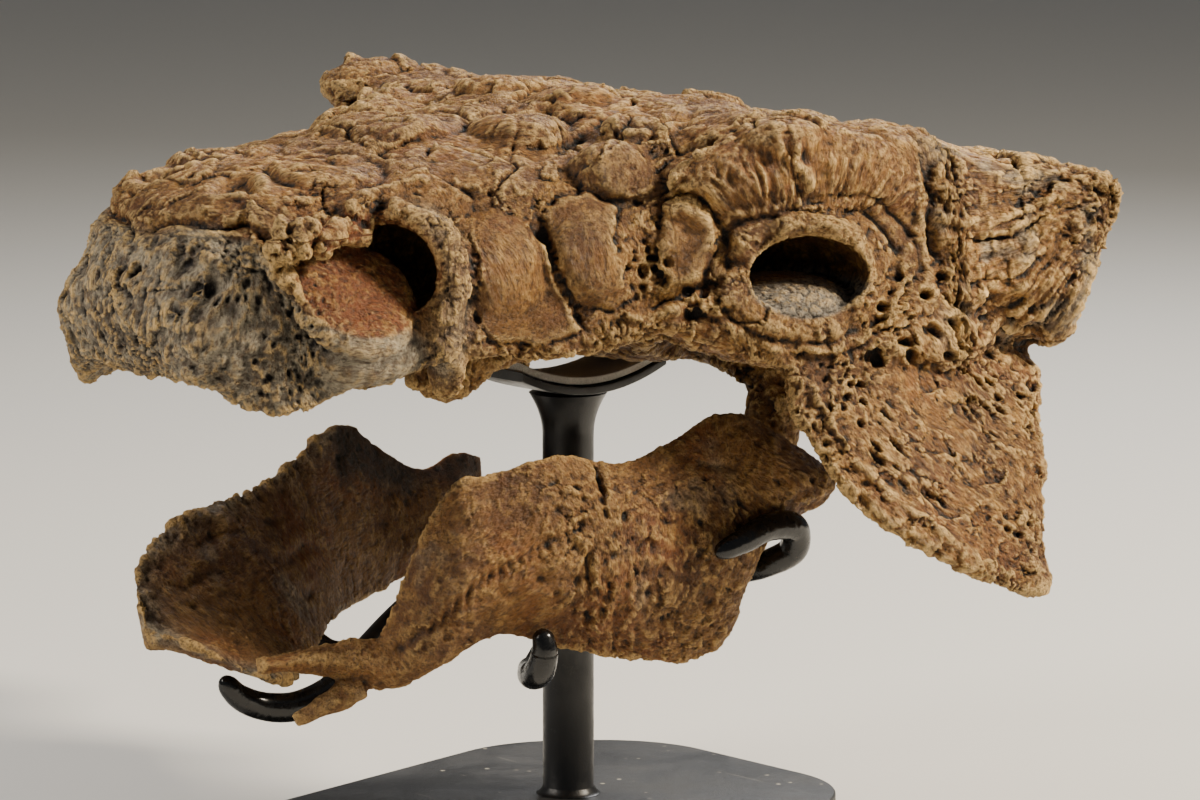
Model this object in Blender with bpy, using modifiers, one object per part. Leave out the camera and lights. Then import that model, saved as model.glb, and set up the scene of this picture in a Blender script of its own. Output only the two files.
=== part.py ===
# An armoured dinosaur's fossil skull and lower jaw, life size, on a welded steel museum mount.
# Metres, +Z up. The snout points to -Y, the animal's left is +X and the skull's middle plane is X = 0.
# The origin is on the floor, under the middle of the post.

from math import cos, pi, radians, sin

import bmesh
import bpy
import numpy as np
from mathutils import Matrix, Vector

# ---- driving dimensions -------------------------------------------------------------------------

GAP = 0.0003            # clearance between two pieces that touch
BONE_VOXEL = 0.0032     # grid on which the cranium's forms are fused
JAW_VOXEL = 0.0026
SKULL_TRIANGLES = 3680
JAW_TRIANGLES = 720

BEAK_Y = -0.284
OCCIPUT_Y = 0.146
# The cranium's lengthwise profiles, as (y, value) knots from the beak to the occiput.
ROOF_MIDLINE = ((-0.284, 0.306), (-0.277, 0.318), (-0.266, 0.333), (-0.252, 0.346), (-0.236, 0.352),
                (-0.185, 0.358), (-0.110, 0.370), (-0.030, 0.380), (0.040, 0.376), (0.090, 0.362),
                (0.130, 0.350), (0.146, 0.332))
ROOF_EDGE_WIDTH = ((-0.284, 0.032), (-0.262, 0.046), (-0.237, 0.062), (-0.190, 0.080), (-0.130, 0.098),
                   (-0.045, 0.134), (-0.015, 0.152), (0.040, 0.166), (0.118, 0.160), (0.146, 0.132))
ROOF_EDGE_HEIGHT = ((-0.284, 0.300), (-0.262, 0.326), (-0.190, 0.344), (-0.130, 0.347), (-0.045, 0.349),
                    (-0.018, 0.366), (0.040, 0.366), (0.118, 0.350), (0.146, 0.326))
LOWER_EDGE_WIDTH = ((-0.284, 0.034), (-0.276, 0.050), (-0.262, 0.066), (-0.250, 0.078), (-0.225, 0.087),
                    (-0.175, 0.100), (-0.115, 0.117), (-0.060, 0.142), (-0.020, 0.169), (0.040, 0.183),
                    (0.130, 0.180), (0.146, 0.168))
LOWER_EDGE_HEIGHT = ((-0.284, 0.281), (-0.278, 0.264), (-0.268, 0.254), (-0.254, 0.246), (-0.215, 0.250),
                     (-0.175, 0.262), (-0.135, 0.265), (-0.083, 0.265), (-0.055, 0.276), (-0.020, 0.262),
                     (0.060, 0.253), (0.130, 0.256), (0.146, 0.270))
PALATE_HEIGHT = ((-0.284, 0.282), (-0.277, 0.264), (-0.266, 0.258), (-0.250, 0.264), (-0.232, 0.276),
                 (-0.120, 0.284), (-0.060, 0.266), (-0.010, 0.246), (0.070, 0.241), (0.130, 0.246),
                 (0.146, 0.262))
SIDE_SWELL = 0.004       # how far a section's side swells between its two edges
FRONT_SWELL = 0.012      # the same, added at the front of the beak
FRONT_SWELL_START = -0.250
FRONT_SWELL_LENGTH = 0.030

# One side's features, given for the left and mirrored for the right: (x, y, z) places and radii.
ORBIT = (0.168, 0.012, 0.300)
ORBIT_RADII = (0.050, 0.032, 0.0200)
ORBIT_TURN = radians(-25.0)
ORBIT_RIM_RADII = (0.0355, 0.0265)
ORBIT_RIM_THICKNESS = 0.0080
NARIS = (0.094, -0.203, 0.310)
NARIS_RADII = (0.034, 0.035, 0.029)
NARIS_DEPTH = (0.075, -0.171, 0.309)
NARIS_DEPTH_RADII = (0.036, 0.022, 0.020)
LEFT_BROW_PEAK = (0.158, 0.006, 0.367)
RIGHT_BROW_PEAK = (0.160, -0.010, 0.372)
REAR_BROW_BOSS = (0.164, 0.068, 0.357)
# Low plates on the cheek: the middle of each and its radius in the skin's plane.
SIDE_PLATES = (((0.100, -0.135, 0.306), 0.031), ((0.117, -0.087, 0.309), 0.028),
               ((0.130, -0.045, 0.316), 0.022), ((0.110, -0.064, 0.345), 0.022))
SIDE_PLATE_DEPTH = 0.016
# The roof's domes, about 50 mm apart: the top of each and its radius.
ROOF_BOSSES = (((0.043, -0.190, 0.3575), 0.032), ((0.016, -0.118, 0.373), 0.032),
               ((0.054, -0.076, 0.376), 0.030), ((0.030, -0.020, 0.385), 0.030),
               ((0.098, -0.030, 0.376), 0.026), ((0.062, 0.030, 0.379), 0.034),
               ((0.016, 0.072, 0.369), 0.032), ((0.118, 0.045, 0.373), 0.030),
               ((0.072, 0.092, 0.365), 0.030), ((0.132, 0.098, 0.358), 0.026),
               ((0.024, 0.126, 0.353), 0.028))
ROOF_BOSS_DEPTH = 0.012
BROW_SHELF = ((0.134, -0.048, 0.338), (0.150, -0.024, 0.348), (0.165, 0.010, 0.350), (0.174, 0.044, 0.348),
              (0.177, 0.076, 0.340))
# The raised rim behind the nostril, and the crest of the premaxilla in front of it.
NARIS_RIM = ((0.086, -0.186, 0.342), (0.102, -0.166, 0.325), (0.105, -0.161, 0.303),
             (0.102, -0.165, 0.275), (0.102, -0.156, 0.259), (0.100, -0.154, 0.254))
NARIS_RIM_RADII = (0.006, 0.009, 0.010, 0.009, 0.008, 0.004)
PREMAXILLA_CREST = ((0.060, -0.252, 0.324), (0.078, -0.240, 0.310), (0.087, -0.224, 0.290),
                    (0.092, -0.200, 0.276), (0.098, -0.172, 0.272))
PREMAXILLA_CREST_RADII = (0.004, 0.007, 0.008, 0.008, 0.006)
MAXILLA_CORNER = (0.094, -0.156, 0.257)
MAXILLA_CORNER_RADII = (0.010, 0.008, 0.012)
PAROCCIPITAL = ((0.020, 0.138, 0.304), (0.080, 0.142, 0.300), (0.150, 0.142, 0.292))
PAROCCIPITAL_RADII = (0.018, 0.014, 0.017)
QUADRATE = ((0.088, 0.062, 0.285), (0.104, 0.050, 0.250), (0.109, 0.045, 0.222), (0.106, 0.046, 0.202))
QUADRATE_RADII = (0.020, 0.017, 0.014, 0.013)
RIGHT_QUADRATE_POINTS = 3    # the right quadrate's foot is broken off: its last point is left out
PTERYGOID = ((0.020, 0.040, 0.254), (0.064, 0.040, 0.256), (0.104, 0.038, 0.246))
PTERYGOID_RADII = (0.012, 0.012, 0.014)
JAW_CHAMBER = (0.108, 0.052, 0.238)
JAW_CHAMBER_RADII = (0.047, 0.106, 0.037)
# The two hollows of one side of the occiput: under the nuchal crest and under the paroccipital process.
NUCHAL_HOLLOW = (0.066, 0.166, 0.326)
NUCHAL_HOLLOW_RADII = (0.052, 0.026, 0.011)
OCCIPITAL_HOLLOW = (0.082, 0.160, 0.266)
OCCIPITAL_HOLLOW_RADII = (0.052, 0.034, 0.017)

VOMER_KEEL = ((0.0, -0.190, 0.274), (0.0, -0.160, 0.264), (0.0, -0.110, 0.260), (0.0, -0.060, 0.257),
              (0.0, -0.020, 0.252))
VOMER_KEEL_RADII = (0.008, 0.010, 0.011, 0.012, 0.010)
LEFT_TOOTH_ROW = ((0.072, -0.160, 0.258), (0.078, -0.144, 0.248), (0.084, -0.122, 0.262),
                  (0.094, -0.070, 0.270))
RIGHT_TOOTH_ROW = ((-0.062, -0.152, 0.250), (-0.062, -0.125, 0.226), (-0.064, -0.080, 0.224),
                   (-0.074, -0.040, 0.248))
TOOTH_ROW_RADII = (0.008, 0.010, 0.010, 0.008)
TOOTH_ROW_TOP = 0.290
TOOTH_BLOCK_HALVES = (0.009, 0.026)
OCCIPITAL_CONDYLE = (0.0, 0.152, 0.264)
OCCIPITAL_CONDYLE_RADII = (0.021, 0.019, 0.016)
FORAMEN_MAGNUM = (0.0, 0.150, 0.296)
FORAMEN_MAGNUM_RADII = (0.015, 0.044, 0.013)

# The squamosal horn's upright sections along Y: (y, middle x, half width, bottom z, top z).
SQUAMOSAL_SECTIONS = ((0.060, 0.138, 0.042, 0.272, 0.362), (0.088, 0.142, 0.042, 0.272, 0.362),
                      (0.120, 0.152, 0.041, 0.264, 0.350), (0.148, 0.168, 0.034, 0.260, 0.345),
                      (0.166, 0.186, 0.022, 0.262, 0.341), (0.174, 0.191, 0.018, 0.288, 0.340),
                      (0.188, 0.206, 0.008, 0.320, 0.337))
# The cheek horn's level sections, downwards: (z, outer x, thickness, front y, back y).
CHEEK_HORN_SECTIONS = ((0.278, 0.178, 0.030, -0.020, 0.146), (0.252, 0.186, 0.027, -0.006, 0.159),
                       (0.228, 0.198, 0.023, -0.007, 0.156), (0.206, 0.210, 0.020, 0.000, 0.144),
                       (0.190, 0.217, 0.018, 0.010, 0.139), (0.174, 0.227, 0.016, 0.027, 0.130),
                       (0.158, 0.236, 0.014, 0.053, 0.124), (0.140, 0.246, 0.010, 0.092, 0.112))
BROKEN_HORN_SECTIONS = ((0.278, 0.178, 0.030, -0.020, 0.142), (0.252, 0.186, 0.027, -0.006, 0.152),
                        (0.234, 0.195, 0.023, -0.002, 0.140), (0.218, 0.203, 0.019, 0.012, 0.112),
                        (0.208, 0.207, 0.014, 0.030, 0.080))

# The lower jaw's upright sections: (y, top x, top z, bottom x, bottom z, half thickness).
LEFT_JAW_SECTIONS = (
    (-0.229, 0.033, 0.117, 0.034, 0.108, 0.0050), (-0.210, 0.044, 0.120, 0.047, 0.108, 0.0070),
    (-0.190, 0.060, 0.126, 0.062, 0.103, 0.0080), (-0.177, 0.073, 0.134, 0.074, 0.099, 0.0090),
    (-0.170, 0.086, 0.170, 0.081, 0.102, 0.0090), (-0.160, 0.097, 0.197, 0.090, 0.110, 0.0095),
    (-0.138, 0.106, 0.207, 0.102, 0.124, 0.0100), (-0.100, 0.118, 0.214, 0.116, 0.118, 0.0110),
    (-0.068, 0.124, 0.209, 0.127, 0.111, 0.0115), (-0.030, 0.129, 0.222, 0.134, 0.106, 0.0120),
    (-0.010, 0.131, 0.229, 0.136, 0.116, 0.0120), (0.006, 0.132, 0.226, 0.136, 0.150, 0.0120),
    (0.034, 0.134, 0.210, 0.137, 0.171, 0.0110), (0.048, 0.135, 0.200, 0.138, 0.176, 0.0095),
    (0.053, 0.135, 0.194, 0.138, 0.182, 0.0060))
RIGHT_JAW_SECTIONS = (
    (-0.253, -0.022, 0.131, -0.012, 0.127, 0.0045), (-0.244, -0.044, 0.144, 0.002, 0.121, 0.0060),
    (-0.231, -0.056, 0.156, 0.014, 0.112, 0.0070), (-0.212, -0.065, 0.165, 0.018, 0.102, 0.0080),
    (-0.170, -0.079, 0.174, -0.004, 0.095, 0.0080), (-0.120, -0.100, 0.177, -0.055, 0.099, 0.0085),
    (-0.090, -0.114, 0.186, -0.084, 0.100, 0.0100), (-0.060, -0.130, 0.194, -0.108, 0.102, 0.0115),
    (-0.036, -0.138, 0.193, -0.122, 0.103, 0.0125), (-0.010, -0.142, 0.176, -0.132, 0.106, 0.0125),
    (0.020, -0.145, 0.163, -0.139, 0.122, 0.0120), (0.044, -0.146, 0.170, -0.143, 0.142, 0.0100),
    (0.060, -0.146, 0.166, -0.144, 0.152, 0.0060))
JAW_BULGE = 0.006        # how far a ramus bows outwards at half height
SCOOP_BULGE = 0.012      # the same at the scoop-shaped front of the jaw
SCOOP_START = -0.15
SCOOP_LENGTH = 0.06
JAW_SPUR = ((0.064, -0.186, 0.103), (0.057, -0.202, 0.093), (0.050, -0.216, 0.086))
PREDENTARY_BACK = -0.196

# Where the skull is parted into its named pieces. The first two are for the left side.
SQUAMOSAL_REGION = ((0.150, 0.098, 0.256), (0.30, 0.30, 0.40))
CHEEK_HORN_REGION = ((0.150, -0.030, 0.050), (0.35, 0.30, 0.252))
BEAK_REGION = ((-0.30, -0.40, 0.10), (0.30, -0.168, 0.328))
MUZZLE_REGION = ((-0.30, -0.40, 0.10), (0.30, -0.052, 0.45))
PREDENTARY_REGION = ((-0.30, -0.40, 0.0), (0.30, PREDENTARY_BACK, 0.30))

# The mount.
BASE_THICKNESS = 0.012
BASE_FRONT = (0.062, -0.205)
BASE_SHOULDER = (0.126, 0.060)
BASE_BACK = (0.075, 0.127)
BASE_CORNER = 0.034
BASE_EDGE = 0.0015
POST_RADIUS = 0.0133
POST_TOP = 0.2235
CRADLE_HALF_LENGTH = 0.048
CRADLE_HALF_WIDTH = 0.022
CRADLE_HEIGHT = 0.2290   # top of the steel at the middle of the cradle
CRADLE_RISE = 0.011
CRADLE_THICKNESS = 0.005
PAD_THICKNESS = 0.005
SEAT_DEPTH = 0.05        # how far below the cradle's top the skull is cut clear of it
ROD_RADIUS = 0.0045
COLLAR_RADIUS = 0.0185
COLLAR_HEIGHTS = (0.118, 0.152)

# Each jaw support is a steel rod from the collar and a rubber sleeve that hooks round the bone's edge.
ARMS = {
    "front": (((0.0, -0.012, 0.146), (0.002, -0.060, 0.143), (0.006, -0.110, 0.127), (0.014, -0.150, 0.106)),
              ((0.014, -0.150, 0.106), (0.015, -0.168, 0.090), (0.009, -0.184, 0.083), (0.002, -0.200, 0.084),
               (0.0, -0.214, 0.091), (0.0, -0.223, 0.101))),
    "left_low": (((0.010, -0.007, 0.130), (0.050, -0.050, 0.116), (0.088, -0.098, 0.103)),
                 ((0.088, -0.098, 0.103), (0.105, -0.110, 0.104), (0.118, -0.116, 0.109), (0.124, -0.118, 0.119),
                  (0.123, -0.119, 0.131))),
    "left_rear": (((0.012, 0.003, 0.140), (0.060, 0.016, 0.142), (0.112, 0.010, 0.142)),
                  ((0.112, 0.010, 0.142), (0.134, 0.018, 0.149), (0.148, 0.024, 0.158), (0.155, 0.018, 0.170),
                   (0.157, 0.000, 0.173), (0.158, -0.018, 0.168), (0.157, -0.036, 0.163))),
    "right_low": (((-0.010, -0.007, 0.130), (-0.036, -0.044, 0.112), (-0.060, -0.088, 0.089)),
                  ((-0.060, -0.088, 0.089), (-0.076, -0.098, 0.087), (-0.090, -0.102, 0.094), (-0.099, -0.103, 0.106),
                   (-0.105, -0.103, 0.118))),
    "right_rear": (((-0.012, 0.003, 0.140), (-0.060, 0.020, 0.136), (-0.118, 0.020, 0.122)),
                   ((-0.118, 0.020, 0.122), (-0.136, 0.034, 0.128), (-0.148, 0.040, 0.136), (-0.157, 0.030, 0.146),
                    (-0.160, 0.010, 0.148), (-0.159, -0.014, 0.145))),
}
SLEEVE_RADII = (0.0060, 0.0068, 0.0075, 0.0074, 0.0066, 0.0040)
SLEEVE_LAP = 0.006       # how far a sleeve reaches back over its rod

COLOURS = {
    "bone": ((0.36, 0.22, 0.11), 0.80, 0.0),
    "beak_bone": ((0.40, 0.33, 0.24), 0.75, 0.0),
    "jaw_bone": ((0.33, 0.19, 0.09), 0.80, 0.0),
    "steel": ((0.012, 0.012, 0.013), 0.42, 0.3),
    "sleeve": ((0.010, 0.010, 0.010), 0.25, 0.0),
    "felt": ((0.34, 0.33, 0.31), 0.95, 0.0),
    "plate": ((0.022, 0.022, 0.024), 0.55, 0.2),
}

for old in list(bpy.data.objects):
    bpy.data.objects.remove(old, do_unlink=True)

PARTS = bpy.data.collections.new("dinosaur_skull")
CUTTERS = bpy.data.collections.new("cutters")
bpy.context.scene.collection.children.link(PARTS)
bpy.context.scene.collection.children.link(CUTTERS)


# ---- general helpers ----------------------------------------------------------------------------

def material(name):
    existing = bpy.data.materials.get(name)
    if existing:
        return existing
    colour, roughness, metallic = COLOURS[name]
    made = bpy.data.materials.new(name)
    made.use_nodes = True
    shader = made.node_tree.nodes["Principled BSDF"]
    shader.inputs["Base Color"].default_value = (*colour, 1.0)
    shader.inputs["Roughness"].default_value = roughness
    shader.inputs["Metallic"].default_value = metallic
    made.diffuse_color = (*colour, 1.0)
    return made


def object_from(bm, name):
    # Turns a bmesh into an object, faces outwards. It lands among the cutters until it is a part.
    bmesh.ops.recalc_face_normals(bm, faces=bm.faces)
    mesh = bpy.data.meshes.new(name)
    bm.to_mesh(mesh)
    bm.free()
    made = bpy.data.objects.new(name, mesh)
    CUTTERS.objects.link(made)
    made.hide_render = True
    made.display_type = "WIRE"
    return made


def as_part(made, name, material_name):
    # Moves a finished object to the parts under its own name.
    CUTTERS.objects.unlink(made)
    PARTS.objects.link(made)
    made.hide_render = False
    made.display_type = "TEXTURED"
    made.name = name
    made.data.name = name
    made.data.materials.clear()
    made.data.materials.append(material(material_name))
    return made


def apply_modifiers(made):
    # Bakes the modifier stack into the object's mesh.
    bpy.context.view_layer.update()
    evaluated = made.evaluated_get(bpy.context.evaluated_depsgraph_get())
    old = made.data
    made.data = bpy.data.meshes.new_from_object(evaluated)
    made.modifiers.clear()
    bpy.data.meshes.remove(old)
    return made


def remove(made):
    bpy.data.objects.remove(made, do_unlink=True)


def combine(made, other, operation):
    # Joins, cuts or keeps the overlap of two closed bodies; the second one is used up.
    boolean = made.modifiers.new(operation.lower(), "BOOLEAN")
    boolean.operation = operation
    boolean.solver = "EXACT"
    boolean.object = other
    apply_modifiers(made)
    remove(other)
    return made


def copy_of(made):
    twin = made.copy()
    twin.data = made.data.copy()
    CUTTERS.objects.link(twin)
    return twin


def curve_value(knots, at):
    # A smooth curve through the knots: cubic pieces whose slope at a knot is that of its neighbours.
    xs = np.array([knot[0] for knot in knots])
    ys = np.array([knot[1] for knot in knots])
    slopes = np.gradient(ys, xs)
    at = np.clip(at, xs[0], xs[-1])
    cell = np.clip(np.searchsorted(xs, at) - 1, 0, len(xs) - 2)
    width = xs[cell + 1] - xs[cell]
    t = (at - xs[cell]) / width
    start = ys[cell] * (2 * t**3 - 3 * t**2 + 1) + slopes[cell] * width * (t**3 - 2 * t**2 + t)
    end = ys[cell + 1] * (3 * t**2 - 2 * t**3) + slopes[cell + 1] * width * (t**3 - t**2)
    return start + end


def rounded_ring(corners, count):
    # A closed smooth ring of count points through a few corners, a cubic blend between each pair.
    corners = np.asarray(corners, dtype=float)
    number = len(corners)
    along = np.arange(count) * number / count
    cell = along.astype(int)
    t = (along - cell)[:, None]
    before = corners[(cell - 1) % number]
    here = corners[cell % number]
    after = corners[(cell + 1) % number]
    beyond = corners[(cell + 2) % number]
    return 0.5 * (2 * here + (after - before) * t + (2 * before - 5 * here + 4 * after - beyond) * t**2
                  + (3 * here - before - 3 * after + beyond) * t**3)


def loft(rings, name):
    # A closed body through a row of rings with the same number of points, capped at both ends.
    bm = bmesh.new()
    rows = [[bm.verts.new(point) for point in ring] for ring in rings]
    count = len(rows[0])
    for lower, upper in zip(rows, rows[1:]):
        for i in range(count):
            j = (i + 1) % count
            bm.faces.new((lower[i], lower[j], upper[j], upper[i]))
    bm.faces.new(rows[0][::-1])
    bm.faces.new(rows[-1])
    return object_from(bm, name)


def ball(centre, radii, name, turn=0.0):
    # An ellipsoid, turned about Z by an angle.
    bm = bmesh.new()
    bmesh.ops.create_uvsphere(bm, u_segments=24, v_segments=14, radius=1.0)
    matrix = Matrix.Translation(centre) @ Matrix.Rotation(turn, 4, "Z") @ Matrix.Diagonal((*radii, 1.0))
    bmesh.ops.transform(bm, matrix=matrix, verts=bm.verts)
    return object_from(bm, name)


def limb(path, radii, name, sides=12, flatten=1.0):
    # A tube through the path's points with a radius at each, flattened sideways by a factor.
    rings = []
    points = [Vector(point) for point in path]
    for index, (point, radius) in enumerate(zip(points, radii)):
        ahead = points[min(index + 1, len(points) - 1)]
        behind = points[max(index - 1, 0)]
        along = (ahead - behind).normalized()
        side = along.cross(Vector((0.0, 0.0, 1.0)))
        if side.length < 0.2:
            side = along.cross(Vector((0.0, 1.0, 0.0)))
        side.normalize()
        up = side.cross(along)
        angles = [2 * pi * k / sides for k in range(sides)]
        rings.append([point + (side * cos(a) * flatten + up * sin(a)) * radius for a in angles])
    return loft(rings, name)


def box(low, high, name):
    bm = bmesh.new()
    bmesh.ops.create_cube(bm, size=1.0)
    size = [b - a for a, b in zip(low, high)]
    middle = [(a + b) / 2 for a, b in zip(low, high)]
    bmesh.ops.transform(bm, matrix=Matrix.Translation(middle) @ Matrix.Diagonal((*size, 1.0)), verts=bm.verts)
    return object_from(bm, name)


def mirrored(point, side):
    return (point[0] * side, point[1], point[2])


def fuse(pieces, name, voxel=BONE_VOXEL):
    # Melts overlapping bodies into one closed skin on a voxel grid.
    bm = bmesh.new()
    for piece in pieces:
        bm.from_mesh(piece.data)
        remove(piece)
    whole = object_from(bm, name)
    remesh(whole, voxel)
    return whole


def remesh(made, voxel):
    modifier = made.modifiers.new("fuse", "REMESH")
    modifier.mode = "VOXEL"
    modifier.voxel_size = voxel
    return apply_modifiers(made)


def soften(made, steps, triangles):
    # Rounds off the voxel steps and thins the mesh out to about the given number of triangles.
    smooth = made.modifiers.new("soften", "SMOOTH")
    smooth.factor = 0.5
    smooth.iterations = steps
    apply_modifiers(made)
    made.data.calc_loop_triangles()
    decimate = made.modifiers.new("thin", "DECIMATE")
    decimate.ratio = triangles / len(made.data.loop_triangles)
    decimate.use_collapse_triangulate = True
    return apply_modifiers(made)


def keep_largest(made):
    # Drops the crumbs that a cut can leave beside the piece.
    bm = bmesh.new()
    bm.from_mesh(made.data)
    groups = []
    unseen = set(bm.verts)
    while unseen:
        stack = [min(unseen, key=lambda vert: vert.index)]
        unseen.discard(stack[0])
        group = []
        while stack:
            vert = stack.pop()
            group.append(vert)
            for edge in vert.link_edges:
                other = edge.other_vert(vert)
                if other in unseen:
                    unseen.discard(other)
                    stack.append(other)
        groups.append(group)
    groups.sort(key=len)
    for group in groups[:-1]:
        bmesh.ops.delete(bm, geom=group, context="VERTS")
    bmesh.ops.triangulate(bm, faces=bm.faces)
    bm.to_mesh(made.data)
    bm.free()
    return made


def part_off(whole, low, high, name, material_name):
    # Parts the bone inside a box from the rest, with the clearance between the two.
    piece = combine(copy_of(whole), box(low, high, "region"), "INTERSECT")
    wide_low = [value - GAP for value in low]
    wide_high = [value + GAP for value in high]
    combine(whole, box(wide_low, wide_high, "region"), "DIFFERENCE")
    return as_part(keep_largest(piece), name, material_name)


# ---- cranium ------------------------------------------------------------------------------------

def cranium_ring(y):
    # One upright section: roof, side, lower edge and palate, as a smooth ring.
    roof = curve_value(ROOF_MIDLINE, y)
    edge_x = curve_value(ROOF_EDGE_WIDTH, y)
    edge_z = curve_value(ROOF_EDGE_HEIGHT, y)
    lower_x = curve_value(LOWER_EDGE_WIDTH, y)
    lower_z = curve_value(LOWER_EDGE_HEIGHT, y)
    palate = curve_value(PALATE_HEIGHT, y)
    swell = SIDE_SWELL + FRONT_SWELL * np.clip((FRONT_SWELL_START - y) / FRONT_SWELL_LENGTH, 0.0, 1.0)
    half = [(0.55 * edge_x, roof - 0.25 * (roof - edge_z)),
            (edge_x, edge_z),
            (0.5 * (edge_x + lower_x) + swell, 0.5 * (edge_z + lower_z)),
            (lower_x, lower_z),
            (0.62 * lower_x, 0.5 * (lower_z + palate) + 0.004)]
    corners = [(0.0, roof), *half, (0.0, palate), *[(-x, z) for x, z in reversed(half)]]
    return [(x, y, z) for x, z in rounded_ring(corners, 48)]


def cranium_body():
    stations = np.concatenate([np.linspace(BEAK_Y, -0.262, 6), np.linspace(-0.255, OCCIPUT_Y, 38)])
    return loft([cranium_ring(y) for y in stations], "cranium_body")


def squamosal_horn(side):
    rings = []
    for y, x, half, bottom, top in SQUAMOSAL_SECTIONS:
        middle = 0.5 * (bottom + top)
        corners = [(x + half, bottom + 0.2 * (top - bottom)), (x + half, middle), (x + 0.7 * half, top),
                   (x - 0.7 * half, top), (x - half, middle), (x - 0.6 * half, bottom), (x + 0.6 * half, bottom)]
        rings.append([(px * side, y, pz) for px, pz in rounded_ring(corners, 28)])
    return loft(rings, "squamosal_horn")


def cheek_horn(side):
    # The left horn is whole, the right one is broken off short.
    rings = []
    for z, outer, thickness, front, back in CHEEK_HORN_SECTIONS if side > 0 else BROKEN_HORN_SECTIONS:
        inner = outer - thickness
        corners = [(outer - 0.5 * thickness, front), (outer, front + 0.18 * (back - front)),
                   (outer, 0.5 * (front + back)), (outer, back - 0.18 * (back - front)),
                   (outer - 0.5 * thickness, back), (inner, back - 0.2 * (back - front)),
                   (inner, 0.5 * (front + back)), (inner, front + 0.2 * (back - front))]
        rings.append([(px * side, py, z) for px, py in rounded_ring(corners, 32)])
    return loft(rings, "cheek_horn")


def orbit_rim(side):
    # A ring of bone round the eye socket.
    centre = Vector((ORBIT[0] - 0.002, ORBIT[1] - 0.008, ORBIT[2]))
    turn = Matrix.Rotation(ORBIT_TURN, 3, "Z")
    around = 28
    across = 10
    bm = bmesh.new()
    rows = []
    for i in range(around):
        a = 2 * pi * i / around
        middle = Vector((0.0, ORBIT_RIM_RADII[0] * cos(a), ORBIT_RIM_RADII[1] * sin(a)))
        row = []
        for k in range(across):
            b = 2 * pi * k / across
            offset = Vector((sin(b), cos(a) * cos(b), sin(a) * cos(b))) * ORBIT_RIM_THICKNESS
            row.append(bm.verts.new(mirrored(centre + turn @ (middle + offset), side)))
        rows.append(row)
    for here, beyond in zip(rows, rows[1:] + rows[:1]):
        for k in range(across):
            j = (k + 1) % across
            bm.faces.new((here[k], here[j], beyond[j], beyond[k]))
    return object_from(bm, "orbit_rim")


def side_bar(path, radii, name, side):
    return limb([mirrored(point, side) for point in path], radii, name)


def right_tooth_blocks():
    # The right tooth row hangs lower: tall lumps, each from its point up into the palate.
    blocks = []
    for x, y, low in RIGHT_TOOTH_ROW:
        radii = (*TOOTH_BLOCK_HALVES, 0.5 * (TOOTH_ROW_TOP - low))
        blocks.append(ball((x, y, low + radii[2]), radii, "tooth_block"))
    return blocks


def side_pieces(side):
    # Everything on one side of the skull that is fused to its body.
    pieces = [squamosal_horn(side), cheek_horn(side), orbit_rim(side)]
    peak = LEFT_BROW_PEAK if side > 0 else RIGHT_BROW_PEAK
    pieces.append(ball(mirrored(peak, side), (0.020, 0.024, 0.012), "brow_peak"))
    pieces.append(ball(mirrored(REAR_BROW_BOSS, side), (0.018, 0.020, 0.012), "rear_brow"))
    brow = [mirrored(point, side) for point in BROW_SHELF]
    pieces.append(limb(brow, (0.012, 0.019, 0.020, 0.019, 0.014), "brow_shelf", flatten=0.62))
    for centre, radius in SIDE_PLATES:
        radii = (SIDE_PLATE_DEPTH, radius, radius)
        pieces.append(ball(mirrored(centre, side), radii, "side_plate", ORBIT_TURN * side))
    for (x, y, top), radius in ROOF_BOSSES:
        centre = (x * side, y, top - ROOF_BOSS_DEPTH)
        pieces.append(ball(centre, (radius, radius, ROOF_BOSS_DEPTH), "roof_boss"))
    bars = ((NARIS_RIM, NARIS_RIM_RADII, "naris_rim"),
            (PREMAXILLA_CREST, PREMAXILLA_CREST_RADII, "premaxilla_crest"),
            (PAROCCIPITAL, PAROCCIPITAL_RADII, "paroccipital_process"))
    for path, radii, name in bars:
        pieces.append(side_bar(path, radii, name, side))
    if side > 0:
        pieces.append(limb(LEFT_TOOTH_ROW, TOOTH_ROW_RADII, "tooth_row", flatten=0.8))
    else:
        pieces += right_tooth_blocks()
    pieces.append(ball(mirrored(MAXILLA_CORNER, side), MAXILLA_CORNER_RADII, "maxilla_corner"))
    return pieces


def side_cutters(side):
    # The openings of one side: eye socket, nostril, the jaw muscles' hollow and the occiput's two.
    return [
        ball(mirrored(ORBIT, side), ORBIT_RADII, "orbit", ORBIT_TURN * side),
        ball(mirrored(NARIS, side), NARIS_RADII, "naris", radians(-18) * side),
        ball(mirrored(NARIS_DEPTH, side), NARIS_DEPTH_RADII, "naris_depth", radians(-30) * side),
        ball(mirrored(JAW_CHAMBER, side), JAW_CHAMBER_RADII, "jaw_chamber"),
        ball(mirrored(NUCHAL_HOLLOW, side), NUCHAL_HOLLOW_RADII, "nuchal_hollow"),
        ball(mirrored(OCCIPITAL_HOLLOW, side), OCCIPITAL_HOLLOW_RADII, "occipital_hollow"),
    ]


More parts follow.
